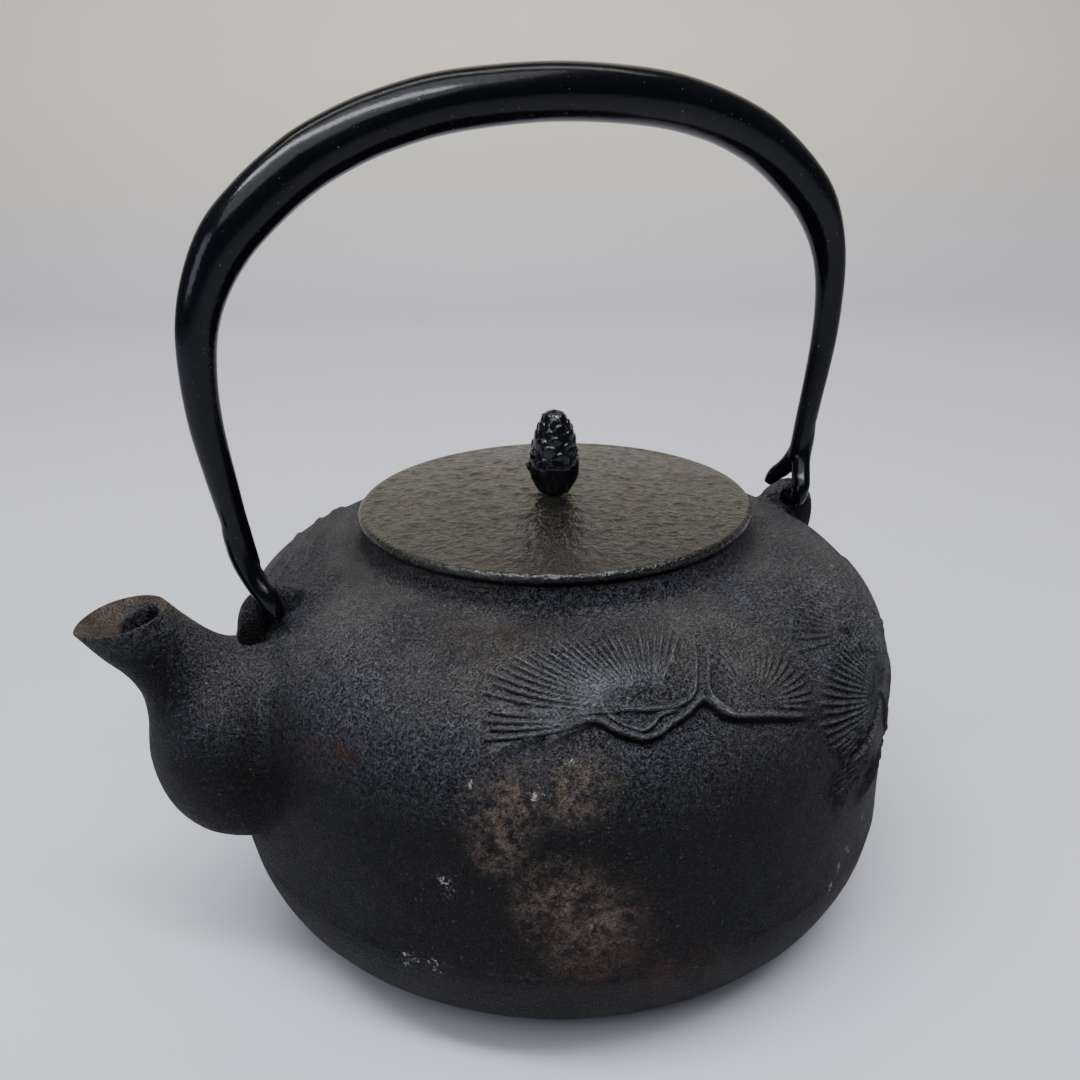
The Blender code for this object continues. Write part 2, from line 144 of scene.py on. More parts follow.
BORE_SECTIONS = [
    (-0.1044, 0.1010, -0.1134, 0.0984, 0.0052),
    (-0.1022, 0.0980, -0.1120, 0.0950, 0.0054),
    (-0.0992, 0.0945, -0.1100, 0.0890, 0.0058),
    (-0.0955, 0.0900, -0.1068, 0.0820, 0.0064),
    (-0.0915, 0.0860, -0.1055, 0.0720, 0.0085),
    (-0.0885, 0.0830, -0.1035, 0.0600, 0.0105),
    (-0.0860, 0.0800, -0.0950, 0.0510, 0.0110),
    (-0.0835, 0.0780, -0.0850, 0.0490, 0.0108),
    (-0.0780, 0.0770, -0.0780, 0.0485, 0.0105),
]
SPOUT_SIDES = 96
BORE_IN_SPOUT = 7         # how many of the bore's sections lie in the spout itself

# Handle, upright, with heights above its hinge: (x, height, radius) from fork to crown
HANDLE_LEAN = math.radians(2.4)
HANDLE_LEG = [
    (0.0826, 0.0105, 0.0027), (0.0848, 0.0225, 0.0031), (0.0868, 0.0350, 0.0034),
    (0.0884, 0.0470, 0.0037), (0.0887, 0.0580, 0.0040), (0.0877, 0.0680, 0.0045),
    (0.0848, 0.0770, 0.0052), (0.0798, 0.0855, 0.0060), (0.0734, 0.0921, 0.0063),
    (0.0651, 0.0986, 0.0064), (0.0565, 0.1036, 0.0065), (0.0434, 0.1087, 0.0065),
    (0.0260, 0.1125, 0.0066),
]
HANDLE_CROWN = (0.0, 0.1142, 0.0066)
NEAR_PRONG = [            # (x, y, height, radius)
    (0.0854, 0.0000, 0.0270, 0.0024),
    (0.0852, -0.0003, 0.0180, 0.0025), (0.0840, -0.0008, 0.0130, 0.0027),
    (0.0828, -0.0020, 0.0095, 0.0027), (0.0817, -0.0038, 0.0068, 0.0026),
    (0.0806, -0.0055, 0.0048, 0.0025), (0.0797, -0.0064, 0.0028, 0.0023),
    (0.0789, -0.0067, 0.0008, 0.0020), (0.0786, -0.0067, -0.0006, 0.0017),
]
FAR_PRONG = [
    (0.0854, 0.0000, 0.0270, 0.0024),
    (0.0846, 0.0003, 0.0180, 0.0025), (0.0835, 0.0008, 0.0130, 0.0026),
    (0.0824, 0.0020, 0.0095, 0.0025), (0.0813, 0.0037, 0.0068, 0.0024),
    (0.0803, 0.0054, 0.0048, 0.0023), (0.0795, 0.0063, 0.0030, 0.0021),
    (0.0791, 0.0067, 0.0012, 0.0019),
]
PIN_RADIUS = 0.0017
PIN_START_Y = -0.0070
PIN_END_Y = 0.0012
HANDLE_VOXEL = 0.00045
BAR_STARTS = 0.021        # height above the hinge where the plain round bar begins
BAR_BLEND = 0.014         # and the height over which it takes over from the fork
PRONG_SWELL = 1.06

# Camera: from the spout side, a little above the lid
CAMERA_PLACE = (-0.12855, -0.2432, 0.20847)
CAMERA_BEARING = math.radians(27.0)
CAMERA_DROP = math.radians(21.753)
CAMERA_ROLL = math.radians(1.153)
CAMERA_LENS = 36.03


# ---------------------------------------------------------------- shape helpers

def lumps(points, size, seed):
    """Smooth value noise from -1 to 1 at 3-D points, with lumps of the given size."""
    cells = np.asarray(points) / size + seed * 17.31
    corner = np.floor(cells).astype(np.int64)
    part = cells - corner
    part = part * part * (3 - 2 * part)
    total = np.zeros(len(cells))
    for offset in itertools.product((0, 1), repeat=3):
        key = (corner + offset) * (73856093, 19349663, 83492791)
        mixed = key[:, 0] ^ key[:, 1] ^ key[:, 2]
        mixed = ((mixed ^ (mixed >> 13)) * 1274126177) & 0xFFFFFF
        mixed = ((mixed ^ (mixed >> 11)) * 668265263) & 0xFFFF
        total += (mixed / 32767.5 - 1) * np.prod(np.where(offset, part, 1 - part), axis=1)
    return total


def smoothstep(low, high, value):
    """0 below low, 1 above high and a smooth rise between them."""
    share = np.clip((value - low) / (high - low), 0, 1)
    return share * share * (3 - 2 * share)


def smooth_path(keys, parts):
    """A Catmull-Rom curve through the keys, each a tuple of any length."""
    rows = np.array(keys, dtype=float)
    rows = np.vstack([2 * rows[0] - rows[1], rows, 2 * rows[-1] - rows[-2]])
    points = []
    for i in range(1, len(rows) - 2):
        before, here, after, beyond = rows[i - 1:i + 3]
        for t in np.arange(parts) / parts:
            points.append(0.5 * (2 * here + (after - before) * t
                                 + (2 * before - 5 * here + 4 * after - beyond) * t ** 2
                                 + (3 * here - before - 3 * after + beyond) * t ** 3))
    points.append(rows[-2])
    return np.array(points)


def arc(centre_r, centre_z, half_r, half_z, start, end, count):
    """Points (radius, height) along an elliptical arc, with angles in degrees."""
    angles = np.radians(np.linspace(start, end, count))
    return np.column_stack([centre_r + half_r * np.cos(angles),
                            centre_z + half_z * np.sin(angles)])


def lengths(points):
    """Distance travelled along a polyline at each of its points."""
    return np.concatenate([[0], np.cumsum(np.linalg.norm(np.diff(points, axis=0), axis=1))])


def even_steps(points, step):
    """The same polyline with points about one step apart."""
    along = lengths(points)
    marks = np.linspace(0, along[-1], max(2, round(along[-1] / step) + 1))
    return np.column_stack([np.interp(marks, along, column) for column in points.T])


def grid_faces(rows, columns, closed_rows=False):
    """Quads between neighbouring rings of a grid of points whose columns close on themselves."""
    faces = []
    for i in range(rows if closed_rows else rows - 1):
        for j in range(columns):
            k = (j + 1) % columns
            below = i * columns
            above = (i + 1) % rows * columns
            faces.append((below + j, below + k, above + k, above + j))
    return faces


def capped_faces(rows, columns):
    """The faces of a closed tube: its sides and a flat cap at each end."""
    faces = grid_faces(rows, columns)
    faces.append(tuple(range(columns)))
    faces.append(tuple(range((rows - 1) * columns, rows * columns)))
    return faces


def new_object(name, points, faces, material=None):
    """A smooth shaded mesh object with its faces pointing out."""
    mesh = bpy.data.meshes.new(name)
    mesh.from_pydata([tuple(p) for p in points], [], faces)
    tidy_mesh(mesh)
    if material is not None:
        mesh.materials.append(material)
    obj = bpy.data.objects.new(name, mesh)
    bpy.context.scene.collection.objects.link(obj)
    return obj


def tidy_mesh(mesh):
    """Weld points that coincide, point the faces out and shade them smooth."""
    work = bmesh.new()
    work.from_mesh(mesh)
    bmesh.ops.remove_doubles(work, verts=work.verts, dist=1e-6)
    bmesh.ops.dissolve_degenerate(work, edges=work.edges, dist=1e-7)
    bmesh.ops.recalc_face_normals(work, faces=work.faces)
    work.to_mesh(mesh)
    work.free()
    mesh.shade_smooth()


def coordinates(mesh):
    """A mesh's points as an array."""
    flat = np.zeros(len(mesh.vertices) * 3)
    mesh.vertices.foreach_get("co", flat)
    return flat.reshape(-1, 3)


def directions(mesh):
    """A mesh's point normals as an array."""
    flat = np.zeros(len(mesh.vertices) * 3)
    mesh.vertices.foreach_get("normal", flat)
    return flat.reshape(-1, 3)


def set_coordinates(mesh, points):
    """Write an array of points back to a mesh."""
    mesh.vertices.foreach_set("co", points.ravel())
    mesh.update()


def settle_modifiers(obj):
    """Apply an object's modifiers."""
    graph = bpy.context.evaluated_depsgraph_get()
    mesh = bpy.data.meshes.new_from_object(obj.evaluated_get(graph))
    obj.modifiers.clear()
    obj.data = mesh
    mesh.name = obj.name
    return obj


def join(name, pieces, material):
    """One object that holds the meshes of several."""
    work = bmesh.new()
    for piece in pieces:
        work.from_mesh(piece.data)
        bpy.data.objects.remove(piece, do_unlink=True)
    mesh = bpy.data.meshes.new(name)
    work.to_mesh(mesh)
    work.free()
    mesh.materials.append(material)
    obj = bpy.data.objects.new(name, mesh)
    bpy.context.scene.collection.objects.link(obj)
    return obj


def melt(obj, voxel, rounds):
    """Merge the overlapping solids of a mesh into one skin and soften its creases."""
    remesh = obj.modifiers.new("Melt", "REMESH")
    remesh.mode = "VOXEL"
    remesh.voxel_size = voxel
    remesh.use_smooth_shade = True
    soften = obj.modifiers.new("Soften", "SMOOTH")
    soften.factor = 0.5
    soften.iterations = rounds
    return settle_modifiers(obj)


def cut(obj, cutter):
    """Cut one solid with another, which is then removed."""
    boolean = obj.modifiers.new("Cut", "BOOLEAN")
    boolean.operation = "DIFFERENCE"
    boolean.solver = "EXACT"
    boolean.object = cutter
    settle_modifiers(obj)
    bpy.data.objects.remove(cutter, do_unlink=True)
    return obj


def tube(name, path, sides=24):
    """A closed round bar of changing radius through (x, y, z, radius) points."""
    path = np.array(path, dtype=float)
    centres = path[:, :3]
    tangents = np.gradient(centres, axis=0)
    tangents /= np.linalg.norm(tangents, axis=1)[:, None]
    across = np.cross(tangents, (0.0, 1.0, 0.0) if abs(tangents[0, 1]) < 0.9 else (1.0, 0, 0))
    across /= np.linalg.norm(across, axis=1)[:, None]
    upright = np.cross(across, tangents)
    turn = np.arange(sides) * math.tau / sides
    wheel = (np.cos(turn)[None, :, None] * across[:, None]
             + np.sin(turn)[None, :, None] * upright[:, None])
    rings = centres[:, None] + wheel * path[:, 3][:, None, None]
    faces = capped_faces(len(path), sides)
    return new_object(name, rings.reshape(-1, 3), faces)


# ---------------------------------------------------------------- the pot's surface

def pot_outline():
    """The pot's outer outline as fine (radius, height) points from base centre to collar."""
    base_r = BODY_RADIUS - BASE_ROUND
    shoulder_r = BODY_RADIUS - SHOULDER_RUN
    fillet_r = COLLAR_FOOT_RADIUS + COLLAR_FILLET
    fillet_z = SHOULDER_FOOT + SHOULDER_RISE + COLLAR_FILLET
    return np.vstack([
        [(0.0, 0.0)],
        arc(base_r, BASE_ROUND, BASE_ROUND, BASE_ROUND, -90, 0, 90),
        arc(shoulder_r, SHOULDER_FOOT, SHOULDER_RUN, SHOULDER_RISE, 0, 90, 120),
        arc(fillet_r, fillet_z, COLLAR_FILLET, COLLAR_FILLET, 270, 180, 16),
        arc(COLLAR_RADIUS - RIM_ROUND, COLLAR_TOP - RIM_ROUND, RIM_ROUND, RIM_ROUND, 0, 90, 6),
    ])


def pot_lining():
    """The pot's inner outline from the mouth's rim down to the floor's centre."""
    base_r = BODY_RADIUS - BASE_ROUND
    shoulder_r = BODY_RADIUS - SHOULDER_RUN
    neck_z = SHOULDER_FOOT + SHOULDER_RISE - WALL
    return np.vstack([
        arc(MOUTH_RADIUS + RIM_ROUND, COLLAR_TOP - RIM_ROUND, RIM_ROUND, RIM_ROUND, 90, 180, 6),
        [(MOUTH_RADIUS, neck_z)],
        arc(shoulder_r, SHOULDER_FOOT, SHOULDER_RUN - WALL, SHOULDER_RISE - WALL, 90, 0, 60),
        arc(base_r, BASE_ROUND, BASE_ROUND - WALL, BASE_ROUND - WALL, 0, -90, 60),
        [(0.0, WALL)],
    ])


OUTLINE = even_steps(pot_outline(), 0.0003)
OUTLINE_SLOPE = np.gradient(OUTLINE, axis=0)
OUTLINE_SLOPE /= np.linalg.norm(OUTLINE_SLOPE, axis=1)[:, None]
OUTLINE_NORMAL = np.column_stack([OUTLINE_SLOPE[:, 1], -OUTLINE_SLOPE[:, 0]])
ALONG = lengths(OUTLINE)
FOOT_ALONG = BODY_RADIUS - BASE_ROUND + BASE_ROUND * math.pi / 2 + SHOULDER_FOOT - BASE_ROUND


def nearest_on_pot(points):
    """Index on OUTLINE of the spot closest to each 3-D point, and its signed distance."""
    flat = np.column_stack([np.hypot(points[:, 0], points[:, 1]), points[:, 2]])
    index = np.zeros(len(flat), dtype=int)
    for start in range(0, len(flat), 5000):
        block = flat[start:start + 5000]
        spread = ((block[:, None] - OUTLINE[None, ::2]) ** 2).sum(axis=2)
        index[start:start + 5000] = spread.argmin(axis=1) * 2
    gap = ((flat - OUTLINE[index]) * OUTLINE_NORMAL[index]).sum(axis=1)
    return index, gap


def pot_normals(points, index):
    """The pot's outward directions at 3-D points whose outline spots are known."""
    turn = np.arctan2(points[:, 1], points[:, 0])
    normal = OUTLINE_NORMAL[index]
    return np.column_stack([normal[:, 0] * np.cos(turn), normal[:, 0] * np.sin(turn),
                            normal[:, 1]])


def on_pot(azimuth, height):
    """The 3-D point of the pot's outer side at an azimuth in degrees and a height."""
    upper = OUTLINE[:, 1] > 0.0002
    radius = np.interp(height, OUTLINE[upper, 1], OUTLINE[upper, 0])
    turn = math.radians(azimuth)
    return radius * math.cos(turn), radius * math.sin(turn), height


def cast_swell(points):
    """How far a hand finished casting strays from its true shape, in metres."""
    swell = (0.00022 * lumps(points, 0.016, 1) + 0.00010 * lumps(points, 0.0065, 2)
             + 0.00005 * lumps(points, 0.0030, 3))
    return swell * smoothstep(0.0015, 0.006, points[:, 2])


# ---------------------------------------------------------------- pine relief
# Relief is drawn on the pot unrolled flat: x is the azimuth times CHART_RADIUS, and y is the
# distance up the outline from the foot of the shoulder.

CHART_RADIUS = 0.083


def chart(azimuth, up):
    """A point of the unrolled pot, from degrees of azimuth and millimetres up."""
    return np.array([math.radians(azimuth) * CHART_RADIUS, up / 1000])


def chart_path(keys, parts=6):
    """A smooth line on the unrolled pot through (azimuth, up) keys."""
    return smooth_path([chart(*key) for key in keys], parts)


def line_gap(spots, path):
    """Distance from each spot to a path, and the share of the path at its closest point."""
    best = np.full(len(spots), 1.0)
    share = np.zeros(len(spots))
    for i, (start, end) in enumerate(zip(path, path[1:])):
        run = end - start
        t = np.clip(((spots - start) @ run) / (run @ run), 0, 1)
        gap = np.linalg.norm(spots - start - t[:, None] * run, axis=1)
        closer = gap < best
        best[closer] = gap[closer]
        share[closer] = (i + t[closer]) / (len(path) - 1)
    return best, share


def ridge(spots, height, path, width, tall, root=0.35, tip=0.6):
    """Raise a rounded line on the height field; root and tip are its end heights' shares."""
    reach = 3 * width
    near = np.all((spots > path.min(axis=0) - reach) & (spots < path.max(axis=0) + reach),
                  axis=1)
    if not near.any():
        return
    gap, share = line_gap(spots[near], path)
    rise = np.interp(share, [0, 0.3, 0.8, 1], [root, 1, 1, tip])
    line = tall * rise * np.exp(-(gap / width) ** 2)
    height[near] = np.maximum(height[near], line)


def fan_needles(centre, tips, count, root, bend):
    """Curved needle paths that spread from a fan's centre to the smooth line of its tips."""
    middle = chart(*centre)
    edge = even_steps(chart_path(tips, 12), 0.0002)
    spots = np.linspace(0, len(edge) - 1, count).round().astype(int)
    needles = []
    for i, spot in enumerate(spots):
        tip = edge[spot] + 0.0007 * math.sin(i * 2.4) * (edge[spot] - middle) / 0.02
        run = tip - middle
        start = middle + run * root / np.linalg.norm(run)
        side = np.array([-run[1], run[0]]) * bend
        t = np.linspace(0, 1, 7)[:, None]
        needles.append(start * (1 - t) ** 2 + ((start + tip) / 2 + side) * 2 * t * (1 - t)
                       + tip * t ** 2)
    return needles


# Each fan: centre, tips, number of needles, distance of their roots, how much they bend and
# their height as a share of NEEDLE_HEIGHT
MAIN_FANS = [
    ((-104.2, 27.6), [(-128.2, 29.8), (-129.0, 34.0), (-127.4, 38.6), (-120.1, 44.2),
                      (-111.2, 46.6), (-103.8, 47.8), (-97.6, 46.8), (-93.2, 44.6)],
     27, 0.0042, 0.035, 1.15),
    ((-109.0, 27.0), [(-127.4, 20.6), (-128.1, 24.2), (-128.2, 28.2)], 5, 0.0060, 0.02, 1.1),
    ((-87.1, 23.8), [(-91.4, 36.6), (-88.6, 38.7), (-83.7, 38.6), (-78.9, 34.0),
                     (-75.6, 27.6), (-75.4, 21.6), (-77.6, 18.4)], 19, 0.0048, -0.02, 0.72),
]
SIDE_FANS = [
    ((-56.6, 8.0), [(-70.2, 0.8), (-74.1, 7.7), (-74.6, 13.6), (-72.6, 19.4), (-67.0, 24.2),
                    (-58.4, 27.6), (-50.4, 28.6), (-44.0, 24.0), (-40.5, 16.0)],
     33, 0.0034, 0.03, 0.85),
    ((-57.6, -3.4), [(-71.0, -12.6), (-73.6, -5.6), (-71.6, 0.0)], 8, 0.0050, 0.03, 0.6),
    ((-55.0, -3.0), [(-41.0, 6.0), (-39.0, -2.0), (-43.0, -11.0), (-52.0, -16.5),
                     (-64.0, -17.0)], 14, 0.0070, -0.03, 0.6),
    ((-57.0, 26.0), [(-72.6, 27.0), (-72.0, 33.6), (-66.4, 38.6), (-58.0, 41.2),
                     (-48.0, 41.6), (-39.0, 38.0), (-35.0, 30.0)], 22, 0.0050, 0.03, 0.65),
]
TWIGS = [                 # (width, height, keys) of branches and loops
    (0.00052, 0.00130, [(-116.1, 25.5), (-113.1, 26.6), (-111.3, 26.0), (-109.6, 24.3),
                        (-107.5, 22.9), (-105.4, 22.0), (-103.1, 22.6), (-101.3, 24.0),
                        (-98.7, 25.4), (-96.7, 26.9), (-95.3, 27.7), (-94.0, 26.6),
                        (-92.7, 24.2), (-90.1, 22.3), (-84.9, 20.3), (-79.4, 17.4)]),
    (0.00042, 0.00100, [(-110.3, 27.2), (-108.7, 25.3), (-107.0, 24.2), (-105.6, 23.5),
                        (-104.2, 24.2), (-103.2, 25.4), (-102.0, 26.2), (-99.6, 26.4)]),
    (0.00048, 0.00115, [(-91.7, 41.5), (-93.4, 36.7), (-94.8, 33.3), (-96.0, 30.1),
                        (-97.1, 28.5), (-98.7, 27.6), (-100.7, 27.3), (-103.9, 27.5),
                        (-106.5, 28.0), (-108.4, 28.2)]),
    (0.00048, 0.00120, [(-90.9, 37.4), (-92.2, 33.7), (-93.3, 31.0), (-93.8, 28.8),
                        (-93.4, 26.9), (-92.4, 25.2), (-91.4, 23.6), (-90.4, 22.4)]),
    (0.00050, 0.00110, [(-57.6, 7.0), (-60.0, 3.4), (-64.0, 0.4), (-68.3, -1.8)]),
    (0.00050, 0.00100, [(-55.5, 7.5), (-53.0, 2.0), (-50.0, -6.0), (-46.0, -12.0)]),
    (0.00060, 0.00080, [(-53.0, 43.0), (-49.0, 45.4), (-43.0, 44.6), (-38.0, 46.2)]),
    (0.00060, 0.00090, [(118.0, 30.0), (126.0, 37.0), (135.6, 42.2), (145.8, 45.2),
                        (154.9, 44.5), (163.5, 43.0), (172.0, 38.0)]),
    (0.00050, 0.00070, [(126.0, 30.0), (134.0, 36.4), (144.0, 40.4), (154.0, 40.2),
                        (163.0, 37.4), (169.0, 32.0)]),
    (0.00050, 0.00060, [(136.0, 30.0), (144.0, 35.0), (153.0, 35.4), (161.0, 31.6)]),
]
LEDGE = [                 # the lower edge of the front branch's raised ground
    (-129.5, 19.6), (-127.0, 20.4), (-119.5, 23.6), (-113.1, 25.9), (-111.3, 25.2),
    (-109.6, 23.3), (-107.5, 21.9), (-105.4, 21.1), (-103.1, 21.7), (-101.3, 23.1),
    (-98.7, 24.4), (-96.7, 25.9), (-95.3, 26.6), (-94.1, 25.4), (-92.8, 22.9),
    (-90.1, 21.2), (-84.9, 19.3), (-77.4, 15.6), (-75.0, 14.6),
]
NEEDLE_WIDTH = 0.00044
NEEDLE_HEIGHT = 0.00082
MIRROR_AT = -14.0         # the far side repeats the front, mirrored about this azimuth


def raised_ground(spots):
    """The soft shelf under the front branch, with the hollow below its ledge."""
    ledge = np.array([chart(*key) for key in LEDGE])
    level = spots[:, 1] - np.interp(spots[:, 0], ledge[:, 0], ledge[:, 1])
    ends = (smoothstep(ledge[0, 0] - 0.004, ledge[0, 0] + 0.004, spots[:, 0])
            * (1 - smoothstep(ledge[-1, 0] - 0.004, ledge[-1, 0] + 0.004, spots[:, 0])))
    inner = (smoothstep(ledge[0, 0] + 0.008, ledge[0, 0] + 0.034, spots[:, 0])
             * (1 - smoothstep(ledge[-1, 0] - 0.012, ledge[-1, 0], spots[:, 0])))
    shelf = smoothstep(-0.0006, 0.0004, level) * (1 - smoothstep(0.002, 0.022, level))
    hollow = (1 - smoothstep(-0.0006, 0.0002, level)) * np.exp(level / 0.005)
    return ends * (0.00035 + 0.00035 * inner) * shelf - 0.00055 * inner * hollow


# Soft pads of raised ground: centre, half width, half height and thickness
PADS = [
    ((-44.0, 26.5), 0.024, 0.0125, 0.00105), ((-50.0, 6.0), 0.027, 0.0190, 0.00055),
    ((-56.0, -6.0), 0.018, 0.0120, 0.00030), ((150.0, 34.0), 0.034, 0.0120, 0.00060),
]


def pads(spots):
    """Height of the pads, whose edges wander a little."""
    height = np.zeros(len(spots))
    for centre, half_x, half_y, thickness in PADS:
        away = (spots - chart(*centre)) / (half_x, half_y)
        bearing = np.arctan2(away[:, 1], away[:, 0])
        size = np.linalg.norm(away, axis=1)
        edge = 1 + 0.07 * np.sin(5 * bearing + 1) + 0.04 * np.sin(11 * bearing)
        height = np.maximum(height, thickness * (1 - smoothstep(0.86, 1.0, size / edge)))
    return height


def draw_relief(spots):
    """Height of the pine branches over the smooth pot, and how much of it is drawn line."""
    lines = np.zeros(len(spots))
    for centre, tips, count, root, bend, tall in MAIN_FANS + SIDE_FANS:
        for path in fan_needles(centre, tips, count, root, bend):
            ridge(spots, lines, path, NEEDLE_WIDTH, NEEDLE_HEIGHT * tall)
    for width, tall, keys in TWIGS:
        ridge(spots, lines, chart_path(keys), width, tall, root=0.8, tip=0.5)
    return lines, lines + raised_ground(spots) + pads(spots)


def mirrored(spots):
    """Where a spot of the far side falls on the drawing of the front."""
    flipped = spots.copy()
    flipped[:, 0] = math.radians(MIRROR_AT) * CHART_RADIUS - spots[:, 0]
    return flipped


def relief(spots):
    """Heights and drawn lines over the whole pot."""
    lines, height = draw_relief(spots)
    far_lines, far_height = draw_relief(mirrored(spots))
    far = spots[:, 0] > math.radians(20) * CHART_RADIUS
    lines = np.where(far, np.maximum(far_lines, lines), lines)
    height = np.where(far, np.where(np.abs(far_height) > np.abs(height), far_height, height),
                      height)
    return lines, height


def near_relief(spots, reach):
    """Which spots lie within reach of a drawn line."""
    found = np.zeros(len(spots), dtype=bool)
    for shown in (spots, mirrored(spots)):
        for centre, tips, _, root, _, _ in MAIN_FANS + SIDE_FANS:
            middle = chart(*centre)
            edge = chart_path(tips, 8)
            away = shown - middle
            bearing = np.unwrap(np.arctan2((edge - middle)[:, 1], (edge - middle)[:, 0]))
            size = np.linalg.norm(edge - middle, axis=1)
            if bearing[0] > bearing[-1]:
                bearing, size = bearing[::-1], size[::-1]
            aim = np.arctan2(away[:, 1], away[:, 0])
            aim = bearing[0] + (aim - bearing[0]) % math.tau
            inside = aim < bearing[-1]
            limit = np.interp(aim, bearing, size) + reach
            distance = np.linalg.norm(away, axis=1)
            found |= inside & (distance < limit) & (distance > root - reach)
        for width, _, keys in TWIGS:
            gap, _ = line_gap(shown, chart_path(keys, 3))
            found |= gap < reach + width
    return found & (spots[:, 1] > chart(0, -25)[1]) & (spots[:, 1] < chart(0, 52)[1])


def pot_grid():
    """The pot's skin laid out flat as a mesh of (chart x, distance along outline) points."""
    rows = np.concatenate([
        lengths(even_steps(pot_outline(), POT_STEP)),
        ALONG[-1] + lengths(even_steps(pot_lining(), 1.6 * POT_STEP))
        + np.linalg.norm(pot_outline()[-1] - pot_lining()[0]),
    ])
    seam = np.interp(PARTING_HEIGHT, OUTLINE[1:, 1], ALONG[1:])
    rows = np.sort(np.concatenate([rows[np.abs(rows - seam) > 0.0022],
                                   seam + np.linspace(-0.0020, 0.0020, 11)]))
    turns = np.linspace(-math.pi, math.pi, POT_COLUMNS + 1) * CHART_RADIUS
    flat = np.array([(x, y - FOOT_ALONG, 0.0) for y in rows for x in turns])
    count = POT_COLUMNS + 1
    faces = [(i * count + j, i * count + j + 1, (i + 1) * count + j + 1, (i + 1) * count + j)
             for i in range(len(rows) - 1) for j in range(POT_COLUMNS)]
    mesh = bpy.data.meshes.new("pot_grid")
    mesh.from_pydata([tuple(p) for p in flat], [], faces)
    return mesh


def refine(mesh, reach):
    """Split the faces of the flat grid that lie within reach of the relief."""
    work = bmesh.new()
    work.from_mesh(mesh)
    centres = np.array([face.calc_center_median() for face in work.faces])
    wanted = near_relief(centres[:, :2], reach)
    edges = {edge for face, hit in zip(work.faces, wanted) if hit for edge in face.edges}
    bmesh.ops.subdivide_edges(work, edges=list(edges), cuts=1, use_grid_fill=True)
    work.to_mesh(mesh)
    work.free()


def roll_up(flat):
    """3-D points and outward directions of points on the flat layout of the pot's skin."""
    whole = np.vstack([pot_outline(), pot_lining()])
    along = lengths(whole)
    fine = even_steps(whole, 0.0002)
    fine_along = np.linspace(0, along[-1], len(fine))
    slope = np.gradient(fine, axis=0)
    slope /= np.linalg.norm(slope, axis=1)[:, None]
    place = flat[:, 1] + FOOT_ALONG
    radius, height, run, rise = (np.interp(place, fine_along, column)
                                 for column in (*fine.T, *slope.T))
    turn = flat[:, 0] / CHART_RADIUS
    points = np.column_stack([radius * np.cos(turn), radius * np.sin(turn), height])
    outward = np.column_stack([rise * np.cos(turn), rise * np.sin(turn), -run])
    return points, outward


def make_pot(material):
    """The hollow pot with its grained casting, its parting line and the pine relief."""
    mesh = pot_grid()
    for reach in (0.0030, 0.0018, 0.0009):
        refine(mesh, reach)
    flat = coordinates(mesh)
    points, outward = roll_up(flat)
    outer = flat[:, 1] + FOOT_ALONG < ALONG[-1] - 0.004
    lines = np.zeros(len(flat))
    height = np.zeros(len(flat))
    lines[outer], height[outer] = relief(flat[outer, :2])
    rise = np.where(outer, height + cast_swell(points), 0.0)
    seam = np.exp(-((points[:, 2] - PARTING_HEIGHT) / 0.0006) ** 2)
    step = smoothstep(-0.0005, 0.0005, points[:, 2] - PARTING_HEIGHT)
    rise += outer * (0.00022 * seam + 0.00016 * step * (points[:, 2] < 0.060))
    set_coordinates(mesh, points + outward * rise[:, None])
    drawn = mesh.attributes.new("drawn", "FLOAT", "POINT")
    drawn.data.foreach_set("value", (lines / NEEDLE_HEIGHT).astype(np.float32))
    tidy_mesh(mesh)
    mesh.materials.append(material)
    pot = bpy.data.objects.new("kettle_pot", mesh)
    bpy.context.scene.collection.objects.link(pot)
    return pot


# ---------------------------------------------------------------- spout and lugs

def oval_rings(sections, leaf=0.0, sides=SPOUT_SIDES):
    """Oval rings through sections of the XZ plane; leaf draws them to a point in front."""
    turn = np.arange(sides) * math.tau / sides
    rear = np.column_stack([sections[:, 0], np.zeros(len(sections)), sections[:, 1]])
    front = np.column_stack([sections[:, 2], np.zeros(len(sections)), sections[:, 3]])
    pinch = 1 - np.asarray(leaf)[..., None] * np.clip(np.cos(turn), 0, 1) ** 2
    side = np.zeros((len(sections), sides, 3))
    side[:, :, 1] = sections[:, 4][:, None] * np.sin(turn) * pinch
    along = (front - rear)[:, None] / 2 * np.cos(turn)[None, :, None]
    return ((rear + front) / 2)[:, None] + along + side


